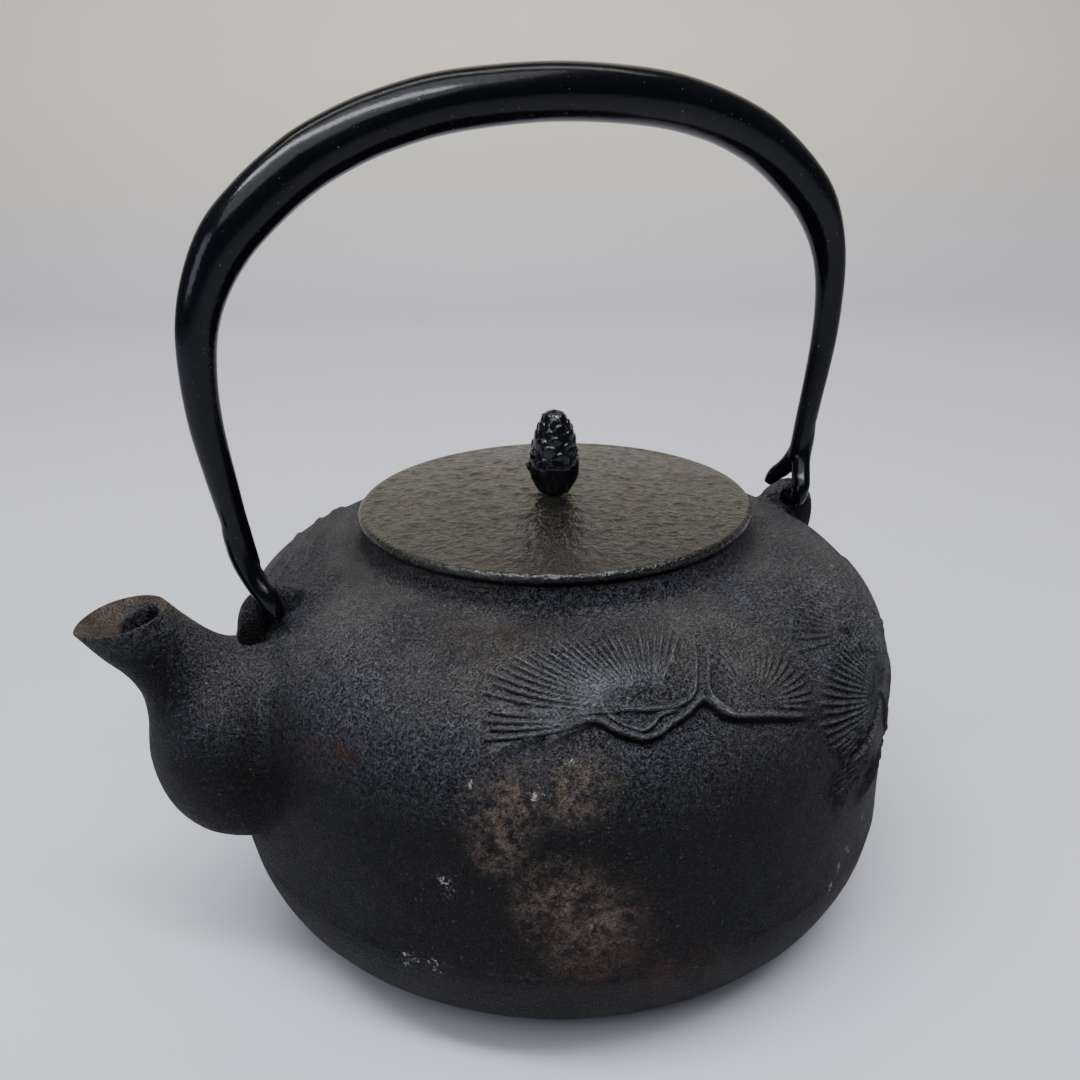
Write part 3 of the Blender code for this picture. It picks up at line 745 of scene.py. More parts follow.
def grow_from_pot(rings, fillet):
    """Replace the part of a loft that is inside the pot by a fillet onto the pot's skin.

    Rings run from the tip down into the pot. Fillet is the reach of the curve, one number for
    each column. The last ring is buried just under the skin.
    """
    rows, columns = rings.shape[:2]
    gap = nearest_on_pot(rings.reshape(-1, 3))[1].reshape(rows, columns)
    blend = np.linspace(0, 1, 9)[1:, None]
    rows_out = 28
    grown = np.zeros((rows_out + len(blend) + 1, columns, 3))
    for j in range(columns):
        column = rings[:, j]
        below = np.argmax(gap[:, j] < 0)
        share = gap[below - 1, j] / (gap[below - 1, j] - gap[below, j])
        crossing = column[below - 1] + share * (column[below] - column[below - 1])
        shown = np.vstack([column[:below], crossing])
        travelled = lengths(shown)
        reach = min(fillet[j], travelled[-1] * 0.6)
        kept = np.linspace(0, travelled[-1] - reach, rows_out)
        stem = np.column_stack([np.interp(kept, travelled, axis) for axis in shown.T])
        up = pot_normals(crossing[None], nearest_on_pot(crossing[None])[0])[0]
        out = crossing - rings[below].mean(axis=0)
        out -= up * (out @ up)
        out /= np.linalg.norm(out)
        foot = crossing + out * reach
        spot, near = nearest_on_pot(foot[None])
        foot_up = pot_normals(foot[None], spot)[0]
        foot = foot - foot_up * (near[0] + 0.00003)
        curve = (stem[-1] * (1 - blend) ** 2 + crossing * 2 * blend * (1 - blend)
                 + foot * blend ** 2)
        buried = foot + out * 0.0006 - foot_up * 0.0012
        grown[:, j] = np.vstack([stem, curve, buried])
    return grown


def ring_normals(rings):
    """Outward directions of a grid of rings, from its own rows and columns."""
    across = np.roll(rings, -1, axis=1) - np.roll(rings, 1, axis=1)
    down = np.gradient(rings, axis=0)
    normal = np.cross(across, down)
    size = np.linalg.norm(normal, axis=2, keepdims=True)
    normal /= np.maximum(size, 1e-12)
    middle = rings.mean(axis=1, keepdims=True)
    facing = (normal * (rings - middle)).sum(axis=(1, 2))
    return normal * np.sign(facing.sum())


def roughened(rings):
    """Rings with the same swell as the pot's own casting."""
    flat = rings.reshape(-1, 3)
    return rings + ring_normals(rings) * cast_swell(flat).reshape(rings.shape[:2])[..., None]


def make_spout(material):
    """The bulbous spout, with a scooped leaf-shaped mouth and a bore through its neck."""
    sections = smooth_path(SPOUT_SECTIONS, 8)
    leaf = np.interp(np.arange(len(sections)), [0, 12, 24], [0.20, 0.10, 0.0])
    outer = oval_rings(sections, leaf)
    turn = np.arange(SPOUT_SIDES) * math.tau / SPOUT_SIDES
    fillet = 0.0040 + 0.0016 * (1 - np.cos(turn)) / 2
    shell = roughened(grow_from_pot(outer, fillet))
    shell[0] = outer[0]
    lip = outer[0] + (outer[0].mean(axis=0) - outer[0]) * 0.035
    lip[:, 2] += 0.0005
    scoop = oval_rings(smooth_path(SCOOP_SECTIONS, 4), np.full(13, 0.18))
    bore = oval_rings(smooth_path(BORE_SECTIONS[:BORE_IN_SPOUT], 5))
    edge = oval_rings(np.array(SPOUT_SECTIONS[:1]), np.array([0.20]))[0]
    edge = edge * 0.985 + edge.mean(axis=0) * 0.015
    edge[:, 2] += 0.00035
    rings = np.concatenate([shell[::-1], edge[None], lip[None], scoop, bore])
    faces = grid_faces(len(rings), SPOUT_SIDES, closed_rows=True)
    return new_object("spout_casting", rings.reshape(-1, 3), faces, material)


def make_bore_cutter():
    """The closed solid that opens the pot's wall behind the spout."""
    sections = smooth_path(BORE_SECTIONS[BORE_IN_SPOUT - 2:], 4)
    rings = oval_rings(sections)
    faces = capped_faces(len(rings), SPOUT_SIDES)
    return new_object("bore_cutter", rings.reshape(-1, 3), faces)


def lug_rings(side):
    """Rounded sections of a lug, from its top down a slanting axis into the pot."""
    path = smooth_path(LUG_OUTLINE, 10)
    slant = (path[:, 0] + path[:, 1]) / math.sqrt(2)
    across = (path[:, 0] - path[:, 1]) / math.sqrt(2)
    top = int(slant.argmax())
    depth = slant[top] - 0.014 * (1 - np.cos(np.linspace(0, math.pi / 2, 34)))
    inner = np.interp(depth, slant[:top + 1], across[:top + 1])
    outer = np.interp(depth, slant[top:][::-1], across[top:][::-1])
    half_y = LUG_HALF * np.sqrt(np.clip(1 - (1 - (slant[top] - depth) / 0.0028).clip(0) ** 2,
                                        0.0004, 1))
    turn = np.arange(LUG_SIDES) * math.tau / LUG_SIDES
    wave_x = np.sign(np.cos(turn)) * np.abs(np.cos(turn)) ** LUG_SQUARENESS
    wave_y = np.sign(np.sin(turn)) * np.abs(np.sin(turn)) ** LUG_SQUARENESS
    middle = (inner + outer) / 2
    half_x = (outer - inner) / 2
    u = middle[:, None] + half_x[:, None] * wave_x
    w = np.repeat(depth[:, None], LUG_SIDES, axis=1)
    rings = np.zeros((len(depth), LUG_SIDES, 3))
    rings[:, :, 0] = side * (u + w) / math.sqrt(2) + LUG_SHIFT
    rings[:, :, 1] = half_y[:, None] * wave_y
    rings[:, :, 2] = (w - u) / math.sqrt(2)
    return rings


def make_lug(name, side, material):
    """One handle lug: a cast plate with rounded edges, a worn hole and a fillet at its foot."""
    rings = roughened(grow_from_pot(lug_rings(side), np.full(LUG_SIDES, LUG_FILLET)))
    faces = capped_faces(len(rings), LUG_SIDES)
    lug = new_object(name, rings.reshape(-1, 3), faces, material)
    flare = [(side * LUG_HOLE_X, y, HINGE_HEIGHT, radius) for y, radius in (
        (-0.0060, 0.0046), (-0.0030, 0.0032), (-0.0022, LUG_HOLE_RADIUS), (0.0, 0.0025),
        (0.0022, LUG_HOLE_RADIUS), (0.0030, 0.0032), (0.0060, 0.0046))]
    cut(lug, tube(name + "_drill", flare, 32))
    lug.data.shade_smooth()
    return lug


# ---------------------------------------------------------------- lid and knob

def revolve(name, profile, columns, material, ring=True):
    """A solid turned about Z from (radius, height) points."""
    turn = np.arange(columns) * math.tau / columns
    rings = np.zeros((len(profile), columns, 3))
    rings[:, :, 0] = profile[:, 0][:, None] * np.cos(turn)
    rings[:, :, 1] = profile[:, 0][:, None] * np.sin(turn)
    rings[:, :, 2] = profile[:, 1][:, None]
    return new_object(name, rings.reshape(-1, 3), grid_faces(len(profile), columns, ring),
                      material)


def lid_height(radius):
    """Height of the lid's gently domed top at a radius."""
    return LID_TOP - LID_FALL * (radius / (LID_RADIUS - LID_EDGE_ROUND)) ** 2


def make_lid(material):
    """The lid: a domed disc with a wavy hammered grain, a rounded rim and a spigot."""
    edge_r = LID_RADIUS - LID_EDGE_ROUND
    edge_z = LID_TOP - LID_FALL - LID_EDGE_ROUND
    top_r = np.arange(TANG_HOLE_RADIUS, edge_r, LID_STEP)
    inner_r = SPIGOT_RADIUS - SPIGOT_WALL
    under_r = np.linspace(inner_r - 0.0004, TANG_HOLE_RADIUS, 24)
    profile = np.vstack([
        np.column_stack([top_r, lid_height(top_r)]),
        arc(edge_r, edge_z, LID_EDGE_ROUND, LID_EDGE_ROUND, 90, -60, 14),
        [(edge_r - 0.0004, LID_SEAT), (SPIGOT_RADIUS + 0.0004, LID_SEAT),
         (SPIGOT_RADIUS, LID_SEAT - 0.0004)],
        [(SPIGOT_RADIUS, z) for z in np.linspace(LID_SEAT - 0.002, SPIGOT_BOTTOM + 0.0006, 6)],
        [(SPIGOT_RADIUS - 0.0005, SPIGOT_BOTTOM), (inner_r + 0.0005, SPIGOT_BOTTOM)],
        [(inner_r, z) for z in np.linspace(SPIGOT_BOTTOM + 0.0006, LID_TOP - 0.006, 6)],
        np.column_stack([under_r, lid_height(under_r) - LID_THICKNESS]),
    ])
    lid = revolve("lid_disc", profile, LID_COLUMNS, material)
    points = coordinates(lid.data)
    radius = np.hypot(points[:, 0], points[:, 1])
    on_top = (points[:, 2] > edge_z) * (1 - smoothstep(edge_r - 0.0016, edge_r, radius))
    grain = (0.00020 * lumps(points, 0.0026, 11) + 0.00011 * lumps(points, 0.0014, 12)
             + 0.00008 * lumps(points, 0.0060, 13))
    points[:, 2] += on_top * grain - 0.00008 * on_top
    sag = 0.00010 * lumps(points, 0.012, 14) * smoothstep(edge_r - 0.003, edge_r, radius)
    points[:, :2] *= (1 + (sag / LID_RADIUS))[:, None]
    set_coordinates(lid.data, points)
    return lid


def scale_stand(across, up):
    """How far one scale stands off the cone, from its own centre in units of its size."""
    reach = across ** 2 + up ** 2
    edge = np.sqrt(np.clip(1 - reach ** 3, 0, 1))
    return edge * (0.30 + 0.35 * (up + 1)) * SCALE_RISE


def cone_relief(azimuth, rise, radius):
    """Height of the overlapping scales over the cone, blended as if under thick lacquer."""
    total = np.zeros(len(azimuth))
    for i in range(KNOB_SCALES):
        share = 0.17 + 0.80 * (i / KNOB_SCALES) ** 0.92
        half = 0.0028 * (1.15 - 0.62 * share) * (1 + 0.13 * math.sin(i * 5.1))
        centre = i * GOLDEN_ANGLE + 0.10 * math.sin(i * 3.3)
        turn = (azimuth - centre + math.pi) % math.tau - math.pi
        stand = scale_stand(turn * radius / half, (rise - share) * KNOB_HEIGHT / (0.80 * half))
        total = np.logaddexp(total, stand * smoothstep(0.06, 0.50, share) / SCALE_BLEND)
    return (total - math.log(2)) * SCALE_BLEND


def make_knob(material):
    """The pine cone knob: overlapping scales over a plain foot, in thick lacquer."""
    core = even_steps(smooth_path(KNOB_ENVELOPE, 8) * (KNOB_HEIGHT, 1), KNOB_STEP)
    profile = np.column_stack([core[:, 1], KNOB_FOOT + core[:, 0]])
    profile = np.vstack([[(0.0, KNOB_FOOT)], profile])
    knob = revolve("pine_cone", profile, KNOB_COLUMNS, material, ring=False)
    points = coordinates(knob.data)
    outward = directions(knob.data)
    rise = (points[:, 2] - KNOB_FOOT) / KNOB_HEIGHT
    radius = np.hypot(points[:, 0], points[:, 1])
    azimuth = np.arctan2(points[:, 1], points[:, 0])
    scaled = smoothstep(0.04, 0.26, rise)
    crown = 1 - smoothstep(0.93, 1.0, rise)
    height = (cone_relief(azimuth, rise, radius) - 0.0003) * scaled * crown
    spur = scale_stand((azimuth - SPUR_AZIMUTH) * radius / SPUR_SIZE,
                       (rise - SPUR_RISE) * KNOB_HEIGHT / SPUR_SIZE)
    height = np.maximum(height, 1.3 * spur)
    height += 0.00016 * lumps(points, 0.0034, 21) + 0.00004 * lumps(points, 0.0014, 22)
    height *= smoothstep(0.0, 0.02, rise)
    points += outward * height[:, None]
    points[:, 0] += KNOB_LEAN * smoothstep(0.2, 1.0, rise)
    set_coordinates(knob.data, points)
    return knob


# ---------------------------------------------------------------- handle

def bar_path(parts):
    """The handle's centre line as (x, y, height, radius) rows, from one fork to the other."""
    right = [(x, 0.0, z, r) for x, z, r in HANDLE_LEG]
    left = [(-x, 0.0, z, r) for x, z, r in reversed(HANDLE_LEG)]
    crown_x, crown_z, crown_r = HANDLE_CROWN
    return smooth_path(right + [(crown_x, 0.0, crown_z, crown_r)] + left, parts)


def true_bar(points):
    """Set the bar's skin to its exact radius, with the slight flats of a forged bar."""
    path = even_steps(bar_path(12), 0.0004)
    tangent = np.gradient(path[:, :3], axis=0)
    tangent /= np.linalg.norm(tangent, axis=1)[:, None]
    index = np.zeros(len(points), dtype=int)
    for start in range(0, len(points), 4000):
        block = points[start:start + 4000]
        spread = ((block[:, None, ::2] - path[None, :, 0:3:2]) ** 2).sum(axis=2)
        index[start:start + 4000] = spread.argmin(axis=1)
    centre = path[index, :3]
    run = tangent[index]
    along = ((points - centre) * run).sum(axis=1)[:, None] * run
    spoke = points - centre - along
    size = np.linalg.norm(spoke, axis=1)
    outward = np.cross(run, (0.0, 1.0, 0.0))
    angle = np.arctan2(spoke[:, 1], (spoke * outward).sum(axis=1))
    flat = 0.022 * np.cos(4 * angle + 0.6) * (1 - smoothstep(0.055, 0.085, points[:, 2]))
    true = path[index, 3] * (1 + flat) + 0.00007 * lumps(points, 0.011, 31)
    share = smoothstep(BAR_STARTS, BAR_STARTS + BAR_BLEND, points[:, 2])
    return points + spoke / size[:, None] * ((true - size) * share)[:, None]


def make_handle(material):
    """The bail handle: a tapering bar whose forked feet hook into the lugs."""
    pieces = [tube("bar", bar_path(8), 40)]
    for side in (-1, 1):
        for keys in (NEAR_PRONG, FAR_PRONG):
            prong = [(side * x, y, z, PRONG_SWELL * r) for x, y, z, r in keys]
            pieces.append(tube("prong", smooth_path(prong, 4), 24))
        pin_x = side * LUG_HOLE_X
        pieces.append(tube("pin", [(pin_x, PIN_START_Y, 0.0, PIN_RADIUS * 0.9),
                                   (pin_x, PIN_START_Y + 0.0004, 0.0, PIN_RADIUS),
                                   (pin_x, PIN_END_Y - 0.0004, 0.0, PIN_RADIUS),
                                   (pin_x, PIN_END_Y, 0.0, PIN_RADIUS * 0.8)], 24))
    handle = melt(join("bail_handle", pieces, material), HANDLE_VOXEL, 5)
    points = true_bar(coordinates(handle.data))
    low = 1 - smoothstep(BAR_STARTS, BAR_STARTS + BAR_BLEND, points[:, 2])
    points += directions(handle.data) * (0.00010 * low * lumps(points, 0.004, 32))[:, None]
    set_coordinates(handle.data, points)
    handle.data.transform(Matrix.Translation((0, 0, HINGE_HEIGHT))
                          @ Matrix.Rotation(HANDLE_LEAN, 4, HINGE_AXIS))
    return handle


# ---------------------------------------------------------------- materials

def add(tree, kind, inputs=None, **settings):
    """A node whose inputs are numbers, colours or the sockets that feed them."""
    node = tree.nodes.new(kind)
    for key, value in settings.items():
        setattr(node, key, value)
    for key, value in (inputs or {}).items():
        if isinstance(value, bpy.types.NodeSocket):
            tree.links.new(value, node.inputs[key])
        else:
            node.inputs[key].default_value = value
    return node


def noise(tree, place, size, detail=3.0, rough=0.55):
    """Noise whose largest lumps have the given size in metres."""
    return add(tree, "ShaderNodeTexNoise", {
        "Vector": place, "Scale": 1 / size, "Detail": detail, "Roughness": rough,
    }).outputs["Fac"]


def cell_noise(tree, place, size):
    """Distance from the middle of the nearest of many small cells."""
    return add(tree, "ShaderNodeTexVoronoi", {"Vector": place, "Scale": 1 / size}).outputs[0]


def span(tree, value, low, high, to_low=0.0, to_high=1.0):
    """A value stretched from one range to another and held within it."""
    return add(tree, "ShaderNodeMapRange", {
        "Value": value, "From Min": low, "From Max": high, "To Min": to_low, "To Max": to_high,
    }).outputs["Result"]


def calc(tree, operation, first, second):
    """A sum, product or other operation on two values."""
    return add(tree, "ShaderNodeMath", {0: first, 1: second}, operation=operation).outputs[0]


def paint(tree, share, under, over):
    """One colour laid over another."""
    node = add(tree, "ShaderNodeMix", {0: share}, data_type="RGBA")
    for socket, colour in ((node.inputs[6], under), (node.inputs[7], over)):
        if isinstance(colour, bpy.types.NodeSocket):
            tree.links.new(colour, socket)
        else:
            socket.default_value = (*colour, 1.0)
    return node.outputs[2]


def round_spot(tree, place, centre, reach, soft=0.5):
    """1 near a point of the object, fading to 0 at its reach."""
    gap = add(tree, "ShaderNodeVectorMath", {0: place, 1: centre}, operation="DISTANCE")
    return span(tree, gap.outputs["Value"], reach * (1 - soft), reach, 1.0, 0.0)


def bump(tree, height, distance, strength=1.0, normal=None):
    """A bump of the given depth in metres, over an earlier bump if there is one."""
    inputs = {"Height": height, "Distance": distance, "Strength": strength}
    if normal is not None:
        inputs["Normal"] = normal
    return add(tree, "ShaderNodeBump", inputs).outputs["Normal"]


def start_material(name):
    """A material with its node tree, its shader and the object's own coordinates."""
    material = bpy.data.materials.new(name)
    material.use_nodes = True
    tree = material.node_tree
    coords = add(tree, "ShaderNodeTexCoord")
    return material, tree, tree.nodes["Principled BSDF"], coords


def finish_material(tree, shader, colour, roughness, normal):
    """Feed the shader's colour, roughness and normal."""
    tree.links.new(colour, shader.inputs["Base Color"])
    tree.links.new(roughness, shader.inputs["Roughness"])
    tree.links.new(normal, shader.inputs["Normal"])


RUST_SPOTS = [            # (azimuth, height, reach)
    (-135.9, 0.0997, 0.0045), (-131.4, 0.0999, 0.0055), (-126.7, 0.1001, 0.0050),
    (-150.3, 0.0796, 0.0040), (-156.2, 0.0754, 0.0035), (-66.0, 0.0300, 0.0060),
    (-113.8, 0.0438, 0.0140), (-111.0, 0.0351, 0.0120), (-102.0, 0.0250, 0.0120),
    (70.0, 0.0850, 0.0080), (140.0, 0.0400, 0.0120), (20.0, 0.0500, 0.0070),
]
BROWN_SPOTS = [
    (-125.7, 0.0718, 0.0075), (-123.7, 0.0763, 0.0065), (-115.7, 0.0783, 0.0070),
    (-125.8, 0.0646, 0.0060), (-117.9, 0.0521, 0.0090), (-113.8, 0.0438, 0.0100),
    (60.0, 0.0600, 0.0130), (155.0, 0.0700, 0.0100),
]
SCUFF_SPOTS = [
    (-130.2, 0.0789, 0.0024), (-120.7, 0.0774, 0.0022), (-116.0, 0.0833, 0.0020),
    (-133.9, 0.0550, 0.0034), (-133.0, 0.0520, 0.0030), (-140.0, 0.0302, 0.0040),
    (-136.5, 0.0302, 0.0036), (-71.0, 0.0312, 0.0032), (-68.5, 0.0345, 0.0030),
    (-66.0, 0.0370, 0.0026), (-60.0, 0.0420, 0.0018), (61.0, 0.0392, 0.0030),
    (165.0, 0.0600, 0.0026),
]


def spot_cluster(tree, place, places):
    """The strongest of several spots on the pot's skin."""
    total = None
    for azimuth, height, reach in places:
        here = round_spot(tree, place, on_pot(azimuth, height), 1.5 * reach, 0.8)
        total = here if total is None else calc(tree, "MAXIMUM", total, here)
    return total


def iron_material():
    """Old sand cast iron: near black, grained, dusty on the shoulders and rusty in places."""
    material, tree, shader, coords = start_material("old_cast_iron")
    place = coords.outputs["Object"]
    broad = noise(tree, place, 0.055, 4.0)
    patch = noise(tree, place, 0.014, 6.0, 0.68)
    sand = noise(tree, place, 0.0009, 3.0, 0.70)
    grains = noise(tree, place, 0.00045, 2.0, 0.6)
    facing = add(tree, "ShaderNodeSeparateXYZ", {0: coords.outputs["Normal"]}).outputs["Z"]
    height = add(tree, "ShaderNodeSeparateXYZ", {0: place}).outputs["Z"]

    colour = paint(tree, span(tree, broad, 0.40, 0.60), (0.0016, 0.0016, 0.0026),
                   (0.0050, 0.0040, 0.0037))
    colour = paint(tree, span(tree, patch, 0.50, 0.70, 0.0, 0.7), colour,
                   (0.0140, 0.0118, 0.0108))

    # Painted sheen: a cool grey painted on the crests of the grain where the iron faces up and
    # round the collar and lugs, standing in for the overhead light's sheen
    crest = span(tree, calc(tree, "ADD", sand, calc(tree, "MULTIPLY", grains, 0.6)),
                 0.67, 0.98)
    lit = calc(tree, "MAXIMUM", span(tree, facing, 0.02, 0.70, 0.03, 1.0),
               span(tree, height, 0.094, 0.100, 0.0, 0.8))
    painted_sheen = calc(tree, "MULTIPLY", lit, crest)
    painted_sheen = calc(tree, "MULTIPLY", painted_sheen, span(tree, broad, 0.35, 0.60, 1.0, 0.55))
    colour = paint(tree, painted_sheen, colour, (0.235, 0.237, 0.295))

    # Pale dust in the hollows of the grain, on the shoulders and round the base
    cover = span(tree, noise(tree, place, 0.030, 4.0, 0.6), 0.40, 0.60, 0.25, 1.0)
    dusty = calc(tree, "MULTIPLY", span(tree, facing, 0.30, 0.95), cover)
    low_dust = calc(tree, "MULTIPLY", span(tree, height, 0.036, 0.006, 0.0, 0.7),
                    span(tree, patch, 0.40, 0.60))
    dusty = calc(tree, "MAXIMUM", dusty, low_dust)
    hollow = span(tree, calc(tree, "ADD", calc(tree, "MULTIPLY", sand, -0.8), grains),
                  -0.08, 0.20)
    dust = calc(tree, "MULTIPLY", dusty, hollow)
    colour = paint(tree, calc(tree, "MULTIPLY", dust, 0.95), colour, (0.215, 0.202, 0.180))

    rust = calc(tree, "MULTIPLY", spot_cluster(tree, place, RUST_SPOTS),
                span(tree, noise(tree, place, 0.0045, 6.0, 0.75), 0.44, 0.58))
    colour = paint(tree, calc(tree, "MULTIPLY", rust, 0.7), colour, (0.100, 0.040, 0.031))
    brown = calc(tree, "MULTIPLY", spot_cluster(tree, place, BROWN_SPOTS),
                 span(tree, noise(tree, place, 0.0032, 6.0, 0.85), 0.45, 0.57))
    colour = paint(tree, calc(tree, "MULTIPLY", brown, 0.85), colour, (0.270, 0.200, 0.148))
    # Lighter crests along the relief's drawn lines: partly wear on the raised iron, partly a
    # painted highlight
    drawn = add(tree, "ShaderNodeAttribute", attribute_name="drawn").outputs["Fac"]
    crest_wear_and_highlight = calc(tree, "MULTIPLY", span(tree, drawn, 0.35, 1.0, 0.0, 0.9),
                     span(tree, grains, 0.35, 0.60, 0.35, 1.0))
    colour = paint(tree, crest_wear_and_highlight, colour, (0.190, 0.192, 0.205))
    grit = span(tree, noise(tree, place, 0.0006, 1.0), 0.66, 0.75)
    colour = paint(tree, calc(tree, "MULTIPLY", grit, 0.55), colour, (0.26, 0.25, 0.22))
    flakes = noise(tree, place, 0.0013, 5.0, 0.75)
    marks = calc(tree, "MULTIPLY", spot_cluster(tree, place, SCUFF_SPOTS), 0.20)
    scuff = span(tree, calc(tree, "ADD", marks, flakes), 0.735, 0.765)
    colour = paint(tree, scuff, colour, (0.62, 0.62, 0.60))

    roughness = span(tree, calc(tree, "ADD", calc(tree, "MULTIPLY", patch, 0.5),
                                calc(tree, "MULTIPLY", dust, 0.4)), 0.15, 0.6, 0.32, 0.62)
    normal = bump(tree, noise(tree, place, 0.0045, 3.0), 0.0004, 0.6)
    normal = bump(tree, cell_noise(tree, place, 0.0017), 0.00030, 0.7, normal)
    normal = bump(tree, sand, 0.0018, 1.0, normal)
    normal = bump(tree, grains, 0.0008, 0.9, normal)
    finish_material(tree, shader, colour, roughness, normal)
    shader.inputs["Specular IOR Level"].default_value = 0.10
    return material


def mouth_paint(material):
    """The spout's iron, with worn brown metal round and inside its mouth."""
    own = material.copy()
    own.name = "spout_iron"
    tree = own.node_tree
    shader = tree.nodes["Principled BSDF"]
    coords = next(node for node in tree.nodes if node.type == "TEX_COORD")
    place = coords.outputs["Object"]
    before = shader.inputs["Base Color"].links[0].from_socket
    facing = add(tree, "ShaderNodeSeparateXYZ", {0: coords.outputs["Normal"]}).outputs["Z"]
    height = add(tree, "ShaderNodeSeparateXYZ", {0: place}).outputs["Z"]
    mouth = calc(tree, "MULTIPLY", span(tree, facing, 0.55, 0.85),
                 span(tree, height, 0.0965, 0.0985))
    worn = paint(tree, span(tree, noise(tree, place, 0.0050, 5.0, 0.7), 0.35, 0.65),
                 (0.075, 0.055, 0.045), (0.230, 0.176, 0.148))
    tree.links.new(paint(tree, mouth, before, worn), shader.inputs["Base Color"])
    return own


def lid_material():
    """Old black lacquer over grained iron, with an olive cast."""
    material, tree, shader, coords = start_material("lid_lacquer")
    place = coords.outputs["Object"]
    broad = noise(tree, place, 0.030, 4.0)
    colour = paint(tree, span(tree, broad, 0.35, 0.65), (0.0030, 0.0030, 0.0028),
                   (0.0085, 0.0080, 0.0062))
    worn = span(tree, noise(tree, place, 0.0060, 6.0, 0.75), 0.60, 0.74)
    colour = paint(tree, calc(tree, "MULTIPLY", worn, 0.5), colour, (0.040, 0.031, 0.021))
    specks = span(tree, noise(tree, place, 0.0007, 1.0), 0.72, 0.79)
    colour = paint(tree, calc(tree, "MULTIPLY", specks, 0.5), colour, (0.18, 0.17, 0.14))
    roughness = span(tree, noise(tree, place, 0.0080, 5.0, 0.7), 0.3, 0.7, 0.10, 0.22)
    normal = bump(tree, noise(tree, place, 0.0020, 3.0, 0.65), 0.0009, 0.9)
    normal = bump(tree, noise(tree, place, 0.0007, 3.0, 0.6), 0.00015, 0.7, normal)
    finish_material(tree, shader, colour, roughness, normal)
    shader.inputs["Specular IOR Level"].default_value = 0.36
    return material


def gloss_material(name, deep, worn_colour, low, high, grain, specular):
    """Thick black lacquer with dust specks and small chips."""
    material, tree, shader, coords = start_material(name)
    place = coords.outputs["Object"]
    colour = paint(tree, span(tree, noise(tree, place, 0.020, 4.0), 0.35, 0.65), deep,
                   tuple(1.7 * part for part in deep))
    chips = span(tree, noise(tree, place, 0.0030, 6.0, 0.8), 0.70, 0.75)
    colour = paint(tree, calc(tree, "MULTIPLY", chips, 0.6), colour, worn_colour)
    specks = span(tree, noise(tree, place, 0.0008, 1.0), 0.74, 0.80)
    colour = paint(tree, calc(tree, "MULTIPLY", specks, 0.5), colour, (0.16, 0.16, 0.15))
    roughness = span(tree, noise(tree, place, 0.0050, 5.0, 0.7), 0.3, 0.7, low, high)
    normal = bump(tree, noise(tree, place, 0.0035, 3.0), grain, 0.8)
    normal = bump(tree, noise(tree, place, 0.0007, 3.0), grain * 0.3, 0.5, normal)
    finish_material(tree, shader, colour, roughness, normal)
    shader.inputs["Specular IOR Level"].default_value = specular
    shader.inputs["Coat Weight"].default_value = 0.06
    shader.inputs["Coat Roughness"].default_value = 0.08
    return material


def bare_iron_material():
    """Dull grey-brown iron of the pin and washer."""
    material, tree, shader, coords = start_material("bare_iron")
    place = coords.outputs["Object"]
    colour = paint(tree, noise(tree, place, 0.0040, 6.0, 0.7), (0.030, 0.026, 0.023),
                   (0.120, 0.075, 0.045))
    roughness = span(tree, noise(tree, place, 0.0020, 5.0), 0.3, 0.7, 0.45, 0.75)
    normal = bump(tree, noise(tree, place, 0.0008, 4.0), 0.0002, 0.7)
    finish_material(tree, shader, colour, roughness, normal)
    shader.inputs["Metallic"].default_value = 0.6
    return material


def backdrop_material():
    """A plain pale table top that turns into a plain cream backdrop."""
    material, tree, shader, coords = start_material("pale_backdrop")
    place = coords.outputs["Object"]
    mottle = noise(tree, place, 0.15, 4.0)
    table = paint(tree, mottle, (0.47, 0.465, 0.525), (0.50, 0.495, 0.555))
    cream = paint(tree, mottle, (0.60, 0.55, 0.43), (0.62, 0.57, 0.45))
    height = add(tree, "ShaderNodeSeparateXYZ", {0: place}).outputs["Z"]
    colour = paint(tree, span(tree, height, 0.0, 0.25), table, cream)
    roughness = span(tree, noise(tree, place, 0.05, 3.0), 0.3, 0.7, 0.50, 0.60)
    normal = bump(tree, noise(tree, place, 0.002, 3.0), 0.00002, 0.3)
    finish_material(tree, shader, colour, roughness, normal)
    return material


# ---------------------------------------------------------------- stage

BACKDROP_SIDE = 3.0
BACKDROP_FRONT = -2.4
BACKDROP_BEND = 0.95      # distance behind the kettle where the floor starts to curve up
BACKDROP_RADIUS = 0.45
BACKDROP_TOP = 1.7


def make_backdrop():
    """A plain floor that sweeps up behind the kettle, square to the camera's bearing."""
    curve = arc(BACKDROP_BEND, BACKDROP_RADIUS, BACKDROP_RADIUS, BACKDROP_RADIUS, -90, 0, 25)
    side = np.vstack([[(BACKDROP_FRONT, 0.0)], curve,
                      [(BACKDROP_BEND + BACKDROP_RADIUS, BACKDROP_TOP)]])
    points = [(x, back, z) for back, z in side for x in (-BACKDROP_SIDE, BACKDROP_SIDE)]
    faces = [(2 * i, 2 * i + 1, 2 * i + 3, 2 * i + 2) for i in range(len(side) - 1)]
    backdrop = new_object("backdrop", points, faces, backdrop_material())
    backdrop.data.transform(Matrix.Translation((0, 0, -0.0002))
                            @ Matrix.Rotation(-CAMERA_BEARING, 4, "Z"))


def make_light(name, place, aim, size, power, colour):
    """A soft rectangular studio light."""
    data = bpy.data.lights.new(name, "AREA")
    data.shape = "RECTANGLE"
    data.size, data.size_y = size
    data.energy = power
    data.color = colour
    light = bpy.data.objects.new(name, data)
    bpy.context.scene.collection.objects.link(light)
    light.location = place
    light.rotation_euler = (Vector(aim) - Vector(place)).to_track_quat("-Z", "Y").to_euler()


def make_world():
    """The dim surround of a studio."""
    world = bpy.data.worlds.new("studio")
    world.use_nodes = True
    bpy.context.scene.world = world
    background = world.node_tree.nodes["Background"]
    background.inputs["Color"].default_value = (0.86, 0.93, 1.0, 1.0)
    background.inputs["Strength"].default_value = 0.12


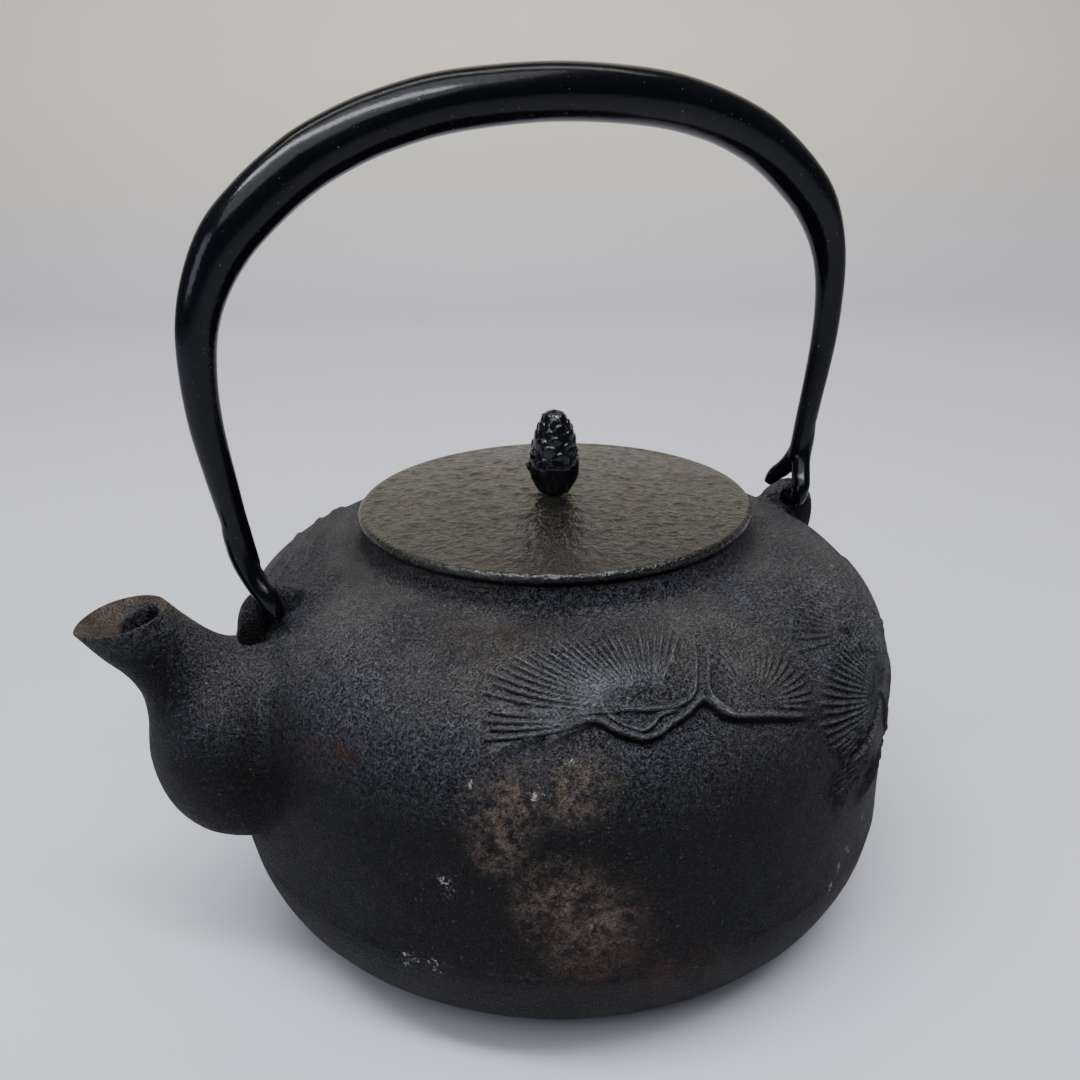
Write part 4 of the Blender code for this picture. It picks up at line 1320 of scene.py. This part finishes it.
def make_camera():
    """The camera, from the spout side and a little above the lid."""
    data = bpy.data.cameras.new("camera")
    data.lens = CAMERA_LENS
    data.sensor_width = 36.0
    data.clip_start = 0.01
    camera = bpy.data.objects.new("camera", data)
    bpy.context.scene.collection.objects.link(camera)
    camera.matrix_world = (Matrix.Translation(CAMERA_PLACE)
                           @ Matrix.Rotation(-CAMERA_BEARING, 4, "Z")
                           @ Matrix.Rotation(math.pi / 2 - CAMERA_DROP, 4, "X")
                           @ Matrix.Rotation(-CAMERA_ROLL, 4, "Z"))
    bpy.context.scene.camera = camera


def make_stage():
    """Camera, backdrop, world and lights."""
    make_camera()
    make_backdrop()
    make_world()
    make_light("strip", (-0.25, -0.28, 1.25), (0, 0, 0.1), (1.5, 0.20), 22, (0.90, 0.95, 1.0))
    make_light("softbox", (-0.25, -0.45, 1.35), (0, 0.2, 0), (1.8, 1.3), 24, (0.96, 0.97, 1.0))
    make_light("side", (-1.2, -0.2, 0.55), (0, 0, 0.06), (0.5, 0.5), 3.5, (0.80, 0.88, 1.0))
    make_light("wall", (0.2, 0.4, 1.40), (0.6, 1.3, 0.5), (1.6, 0.6), 12, (1.0, 0.97, 0.92))


# ---------------------------------------------------------------- assembly

def build():
    """Make every piece and put it on its body."""
    make_stage()
    iron = iron_material()
    pot = cut(make_pot(iron), make_bore_cutter())
    spout = make_spout(mouth_paint(iron))
    lugs = {
        "lug_front": make_lug("lug_front_casting", -1, iron),
        "lug_rear": make_lug("lug_rear_casting", 1, iron),
    }
    lid = make_lid(lid_material())
    knob = make_knob(gloss_material("knob_lacquer", (0.0020, 0.0020, 0.0030),
                                    (0.012, 0.009, 0.008), 0.07, 0.14, 0.00016,
                                    0.34))
    handle = make_handle(gloss_material("handle_lacquer", (0.0014, 0.0015, 0.0024),
                                        (0.012, 0.011, 0.011), 0.12, 0.22, 0.00008,
                                        0.16))
    placed = [
        (pot, "kettle", "kettle_body", "body_iron"),
        (spout, "kettle", "spout", "body_iron"),
        (lugs["lug_front"], "kettle", "lug_front", "body_iron"),
        (lugs["lug_rear"], "kettle", "lug_rear", "body_iron"),
        (lid, "lid", "lid", "lid_lacquer"),
        (knob, "knob", "pine_cone_knob", "knob_lacquer"),
        (handle, "handle", "handle", "handle_lacquer"),
    ]
    for piece, body, node, slot in placed:
        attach(piece, body)
        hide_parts(node)
    bare = bare_iron_material()
    for node in ("under_lid_washer", "knob_tang"):
        frame["nodes"][node].data.materials.clear()
        frame["nodes"][node].data.materials.append(bare)


build()
